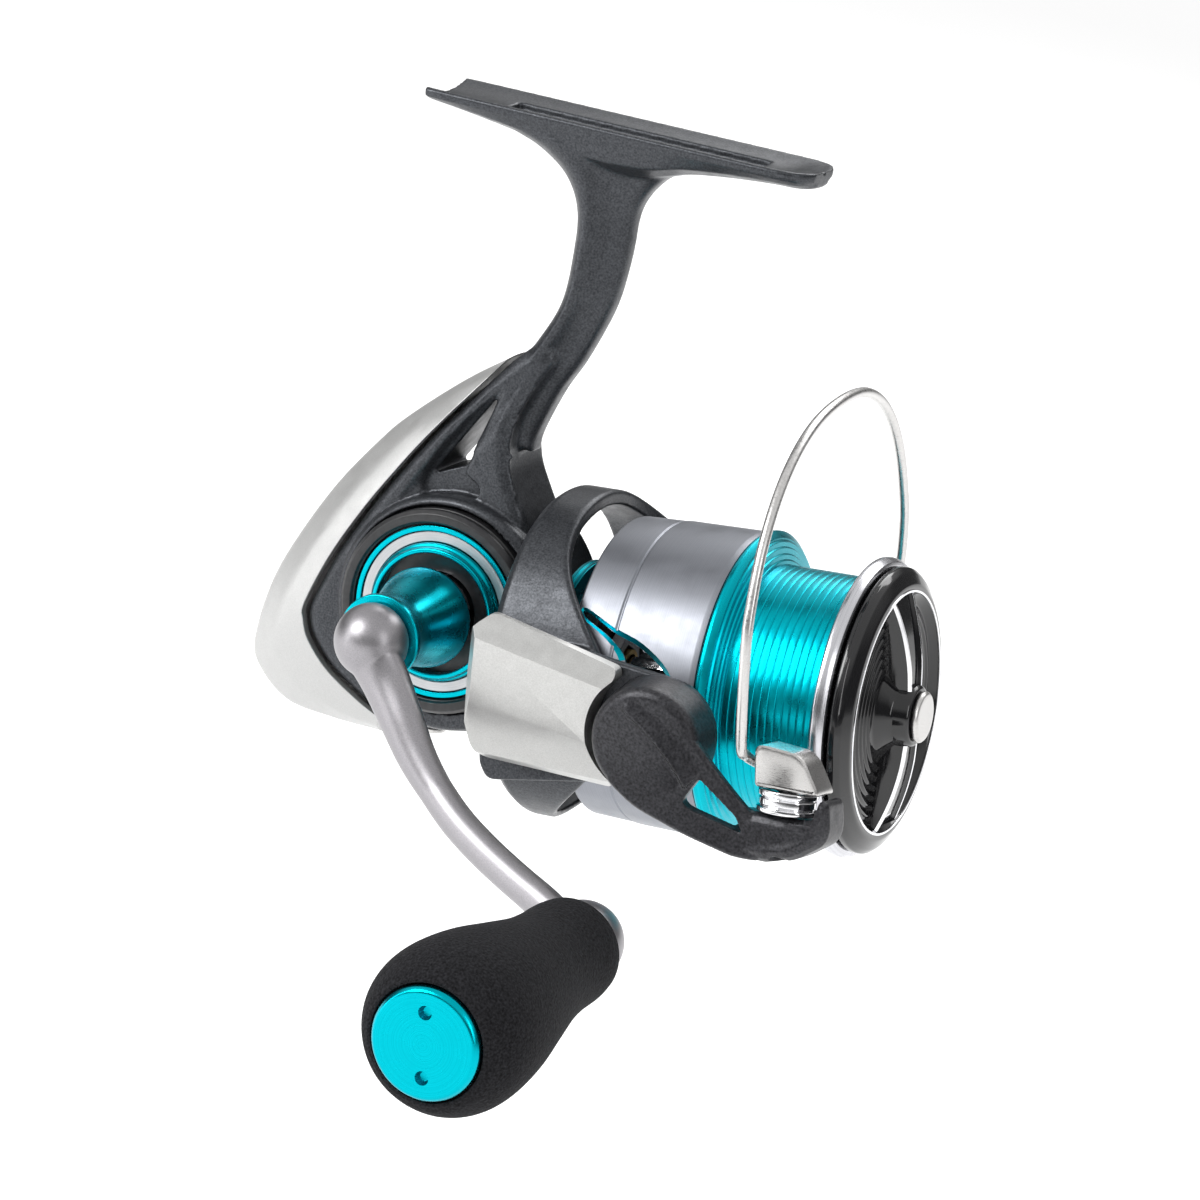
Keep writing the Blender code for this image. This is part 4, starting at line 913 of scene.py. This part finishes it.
def make_bail():
    make_lever()
    fan = rounded([(63.6, -3.4), (73.4, -3.4), (73.6, -2.8), (71.4, 1.5), (69.8, 2.7),
                   (64.6, 3.2), (63.4, 2.6)], 0.8, 5)
    fan_levels = [(-35.4, 0.8), (-35.25, 0.35), (-34.9, 0.08), (-34.4, 0.0), (-29.0, 0.0),
                  (-28.5, 0.4)]
    holder = work_object(lean(plate(fan, fan_levels)))
    for tool in (rod(1.2, 6.0, 1.8, ROLLER_AXIS, ROLLER_CENTRE),
                 rod(60.0, 67.4, 1.25, centre=(0, -31.6, -0.2))):
        boolean(holder, tool, 'DIFFERENCE')
    piece("wire_arm", holder, "bail", "steel", "wire_holder", place=ROTOR,
          bevel=0.25)
    wire("bail_bow", bail_curve(), 0.8, "bail", "wire", "bail_wire", ROTOR)
    disc = lathe([(27.1, 0.0), (27.1, 7.6), (33.4, 7.6), (34.8, 6.0), (34.8, 0.0)], 'Y', BAIL_AXIS,
                 0.5)
    arm = rounded([(46.0, -5.6), (52.4, -3.4), (55.2, -1.0), (55.2, 4.0), (51.0, 4.6),
                   (45.4, 5.6), (42.0, 0.0)], 1.2)
    steps = [('UNION', plate(arm, [(32.3, 0.4), (32.7, 0.0), (35.8, 0.0), (36.5, 0.8)])),
             ('DIFFERENCE', rod(0.5, 8.0, 1.2, 'Z', (53.0, 34.7, 0.0)))]
    piece("far_lever_casting", cast(disc, steps, voxel=0.2, passes=4), "bail", "lever_paint",
          "far_lever", place=ROTOR, sharp=180)

    roller = [(-1.7, 3.2), (-1.7, 4.3), (-1.5, 4.5), (-0.95, 4.5), (-0.8, 4.05), (-0.65, 4.05),
              (-0.5, 4.2), (0.35, 4.2), (0.5, 4.05), (0.65, 4.05), (0.8, 4.45), (1.5, 4.45),
              (1.65, 4.3), (1.65, 3.2)]
    piece("roller_turning", lathe(roller, ROLLER_AXIS, ROLLER_CENTRE, 0.12), "roller", "chrome",
          "line_roller", at=ROLLER_CENTRE, place=ROTOR)


# ---- Spool and drag ----

PORT_RADIUS = 23.5          # the radius at which a port's outline is measured
SKIRT_PORT = [              # along the axis, degrees round from the top
    (28.9, 56.2), (34.2, 62.6), (38.9, 66.8), (43.2, 74.0), (44.8, 82.0), (44.4, 92.0),
    (41.0, 98.0), (38.0, 95.0), (37.2, 84.0), (36.7, 72.0), (33.6, 64.8), (28.9, 58.6),
]


def port_edge(turn, radius, grow):
    """The edge of a skirt port at a radius, grown outwards for its chamfer."""
    line = smooth_path([(x, math.radians(a) * PORT_RADIUS, 0.0) for x, a in SKIRT_PORT], 4, closed=True)
    edge = []
    for point in inset([p.to_2d() for p in line], -grow) if grow else line:
        angle = point.y / PORT_RADIUS + turn
        edge.append(Vector((point.x, -radius * math.sin(angle), radius * math.cos(angle))))
    return edge


def make_spool():
    skirt = [(27.4, 22.4), (27.4, 23.0), (27.7, 23.25), (34.3, 23.5), (34.45, 23.34), (34.7, 23.34),
             (34.85, 23.62), (47.6, 23.88), (48.5, 23.78), (48.5, 16.8), (66.2, 16.8),
             (66.2, 13.0), (56.5, 13.0), (56.5, 4.3), (46.3, 4.3), (46.3, 22.4)]
    drum = work_object(lathe(skirt, 'X', soft=0.12, steps=192))
    for turn in (0, math.pi):
        boolean(drum, skin([port_edge(turn, 20.5, 0.0), port_edge(turn, 27.0, 0.0)]), 'DIFFERENCE')
        boolean(drum, skin([port_edge(turn, 22.9, 0.0), port_edge(turn, 24.1, 1.1)]), 'DIFFERENCE')
    drum.data.materials.clear()
    for finish in ("grey_x", "cyan_x"):
        drum.data.materials.append(FINISHES[finish])
    for face in drum.data.polygons:     # the walls of the ports are cyan
        out = Vector((0.0, face.center.y, face.center.z))
        on_wall = 27.8 < face.center.x < 46.2 and 22.3 < out.length < 23.85
        across = abs(face.normal.dot(Vector((1, 0, 0)).cross(out.normalized())))
        if on_wall and (across > 0.25 or abs(face.normal.dot(out.normalized())) < 0.5):
            face.material_index = 1
    piece("skirt_turning", drum, "spool", "grey_x", "spool_skirt")

    arbor = [(48.8, 17.1), (48.8, 24.15), (49.1, 24.3), (49.5, 24.3), (50.3, 23.3), (50.35, 23.0),
             (50.7, 22.75), (50.75, 22.0), (51.05, 21.85), (51.1, 21.0), (51.35, 20.85),
             (51.4, 20.15), (51.6, 19.95), (51.65, ARBOR_RADIUS)]
    grooves, first, last = 11, 52.6, 65.8
    pitch = (last - first) / grooves
    for groove in range(grooves):
        x = first + groove * pitch
        arbor += [(x, ARBOR_RADIUS), (x + 0.13, ARBOR_RADIUS - 0.13), (x + 0.26, ARBOR_RADIUS)]
    arbor += [(66.2, ARBOR_RADIUS), (66.2, 17.1)]
    piece("arbor_turning", lathe(arbor, 'X', soft=0.06, steps=192), "spool", "cyan_x",
          "spool_arbor")
    lip = [(66.5, 13.3), (66.5, 21.9), (66.75, 22.5, 0.2), (67.1, LIP_RADIUS, 0.3),
           (68.0, LIP_RADIUS, 0.5), (68.7, 22.5, 0.15), (68.85, 22.4, 0.1), (69.0, 21.9, 0.1),
           (69.0, 13.3)]
    piece("lip_turning", lathe(lip, 'X', soft=0.15, steps=192), "spool", "polished_x",
          "spool_lip")


def grip_wing(side):
    """One half of the drag knob's grip: a ridge from the barrel down to the rim."""
    line = [(4.2, 75.3, 2.3), (8.0, 75.0, 2.6), (12.0, 74.2, 3.0), (15.5, 73.1, 3.5),
            (18.4, 71.9, 4.2), (20.0, 70.9, 4.6)]
    fine = smooth_path(line, 5)
    sections, edges = [], {-1: [], 1: []}
    for out, crest, half in fine:
        sections.append([Vector((x, y, out * side)) for x, y in (
            (70.4, -half - 0.5), (crest - 0.9, -half - 0.1), (crest - 0.25, -half + 0.25),
            (crest - 0.7, -half + 0.9), (crest - 0.7, half - 0.9), (crest - 0.25, half - 0.25),
            (crest - 0.9, half + 0.1), (70.4, half + 0.5))])
        for flank in edges:
            edges[flank].append(Vector((crest - 0.3, flank * (half - 0.15), out * side)))
    return skin(sections), edges


def make_drag():
    face = [(69.3, 4.6), (69.3, 21.4), (69.7, 21.9), (70.6, 21.9), (71.3, 21.2), (72.2, 19.6),
            (72.3, 19.2), (72.3, 18.6), (71.9, 18.3), (70.9, 17.4)]
    for ridge in range(6):
        r = 16.6 - 1.5 * ridge
        face += [(70.9, r), (71.25, r - 0.35), (71.25, r - 0.65), (70.95, r - 1.0)]
    face += [(71.2, 7.2), (71.9, 6.4), (72.6, 5.6), (73.2, 5.0), (75.4, 4.7), (75.8, 4.3),
             (75.8, 2.0), (71.5, 2.0), (71.5, 4.6)]
    piece("knob_face", lathe(face, 'X', soft=0.25, steps=160), "drag", "gloss_black",
          "drag_knob")
    piece("knob_trim", ring(72.1, 72.42, 18.75, 18.35, soft=0.08, steps=160), "drag", "chrome")
    for side, word in ((-1, "lower"), (1, "upper")):
        wing, edges = grip_wing(side)
        piece("grip_" + word, wing, "drag", "gloss_black", bevel=0.2)
        for flank, line in edges.items():
            ribbon = []
            for point in line:
                ribbon.append([point + Vector((dx, dy * flank, 0)) for dx, dy in (
                    (0.12, -0.28), (0.18, 0.1), (-0.35, 0.42), (-0.45, 0.1))])
            piece(f"grip_trim_{word}_{'near' if flank < 0 else 'far'}", skin(ribbon), "drag",
                  "chrome", bevel=0.05)
    cap = [(76.1, 0.0), (76.1, 3.9), (76.5, 3.95), (76.9, 3.6), (76.95, 3.0), (76.9, 0.0)]
    piece("button_turning", lathe(cap, 'X', soft=0.15), "drag", "steel",
          "knob_button")


# ---- Stage, light and camera ----

FLOOR_HALF = 6.0            # metres
FLOOR_DROP = 0.06           # metres below the object
FLOOR_GLOW = 0.28           # light of its own, so that it stays white far from the lamps
LAMP_AIM = Vector((0.03, -0.03, -0.06))
LAMPS = [                   # name, place, width, height, watts
    ("key", (-0.55, -0.65, 0.55), 0.5, 0.5, 8.0),
    ("side", (-0.75, -0.55, -0.02), 0.25, 0.6, 1.6),
    ("front", (0.85, -0.45, 0.30), 0.2, 0.6, 1.5),
    ("rim", (0.1, 0.7, 0.6), 0.8, 0.4, 4.0),
]
WORLD_SHADES = [            # how high on the ramp from straight down to straight up, and how bright
    (0.0, 0.9), (0.46, 0.8), (0.52, 0.10), (0.64, 0.14), (0.76, 0.95), (1.0, 1.0),
]
WORLD_STRENGTH = 0.85
CAMERA_AIM = Vector((0.04662, -0.02975, -0.06263))
CAMERA_DISTANCE = 0.64482
CAMERA_AZIMUTH, CAMERA_HEIGHT, CAMERA_ROLL = (math.radians(a) for a in (21.79, 16.34, 9.13))


def make_floor():
    mesh = bpy.data.meshes.new("floor")
    height = cad_low.z - FLOOR_DROP
    corners = [(x * FLOOR_HALF, y * FLOOR_HALF, height) for x, y in ((-1, -1), (1, -1), (1, 1), (-1, 1))]
    mesh.from_pydata(corners, [], [(0, 1, 2, 3)])
    floor = bpy.data.objects.new("floor", mesh)
    bpy.context.scene.collection.objects.link(floor)
    pale = new_finish("pale_floor", (0.92, 0.92, 0.92), 0.0, 0.9)
    set_colour(pale, grain(pale, 300.0), (0.91, 0.91, 0.91), (0.93, 0.93, 0.93))
    shader = shader_of(pale)
    shader.inputs["Emission Color"].default_value = (1.0, 1.0, 1.0, 1.0)
    shader.inputs["Emission Strength"].default_value = FLOOR_GLOW
    mesh.materials.append(pale)


def area_light(name, place, width, height, power):
    light = bpy.data.lights.new(name, 'AREA')
    light.shape = 'RECTANGLE'
    light.size, light.size_y = width, height
    light.energy = power
    lamp = bpy.data.objects.new(name, light)
    bpy.context.scene.collection.objects.link(lamp)
    lamp.location = place
    lamp.rotation_euler = (LAMP_AIM - Vector(place)).to_track_quat('-Z', 'Y').to_euler()


def make_world():
    """A studio: bright overhead, bright low down, and a dim band between for metal to show."""
    world = bpy.data.worlds.new("studio")
    bpy.context.scene.world = world
    world.use_nodes = True
    nodes, links = world.node_tree.nodes, world.node_tree.links
    split = nodes.new("ShaderNodeSeparateXYZ")
    links.new(nodes.new("ShaderNodeTexCoord").outputs["Generated"], split.inputs[0])
    ramp = nodes.new("ShaderNodeValToRGB")
    span = nodes.new("ShaderNodeMapRange")
    span.inputs["From Min"].default_value = -1.0
    span.inputs["From Max"].default_value = 1.0
    links.new(split.outputs["Z"], span.inputs["Value"])
    links.new(span.outputs[0], ramp.inputs[0])
    while len(ramp.color_ramp.elements) < len(WORLD_SHADES):
        ramp.color_ramp.elements.new(0.5)
    for element, (at, shade) in zip(ramp.color_ramp.elements, WORLD_SHADES):
        element.position = at
        element.color = (shade, shade, shade, 1.0)
    links.new(ramp.outputs[0], nodes["Background"].inputs["Color"])
    nodes["Background"].inputs["Strength"].default_value = WORLD_STRENGTH


def make_camera():
    """Seen from the handle's side, a little in front and above."""
    level = math.cos(CAMERA_HEIGHT)
    away = Vector((math.sin(CAMERA_AZIMUTH) * level, -math.cos(CAMERA_AZIMUTH) * level,
                   math.sin(CAMERA_HEIGHT)))
    data = bpy.data.cameras.new("camera")
    data.lens, data.sensor_width, data.clip_start = 132.0, 36.0, 0.01
    camera = bpy.data.objects.new("camera", data)
    bpy.context.scene.collection.objects.link(camera)
    turn = (-away).to_track_quat('-Z', 'Y').to_matrix() @ Matrix.Rotation(CAMERA_ROLL, 3, 'Z')
    camera.matrix_world = Matrix.Translation(CAMERA_AIM + away * CAMERA_DISTANCE) @ turn.to_4x4()
    bpy.context.scene.camera = camera


SLOT_FINISH = {
    "black_paint": "paint", "black_plastic": "plastic", "pearl_silver": "silver",
    "satin_silver": "steel", "cyan_anodised": "cyan_x", "grey_anodised": "grey_x",
    "gunmetal": "gunmetal", "polished_steel": "chrome", "brass": "brass", "zinc": "zinc",
    "felt": "felt", "foam": "foam",
}


def finish_cad_nodes():
    """The CAD nodes that still show take the finish of their record slot."""
    for part in frame["record"]["subparts"]:
        node = frame["nodes"][part["node"]]
        node.data.materials.clear()
        node.data.materials.append(FINISHES[SLOT_FINISH[part["material_slot"]]])


finish_cad_nodes()
make_body()
make_guard()
make_housing()
make_handle()
make_knob()
make_rotor()
make_bail()
make_spool()
make_drag()

make_floor()
make_world()
for lamp_settings in LAMPS:
    area_light(*lamp_settings)
bpy.context.scene.view_settings.view_transform = 'Standard'
make_camera()
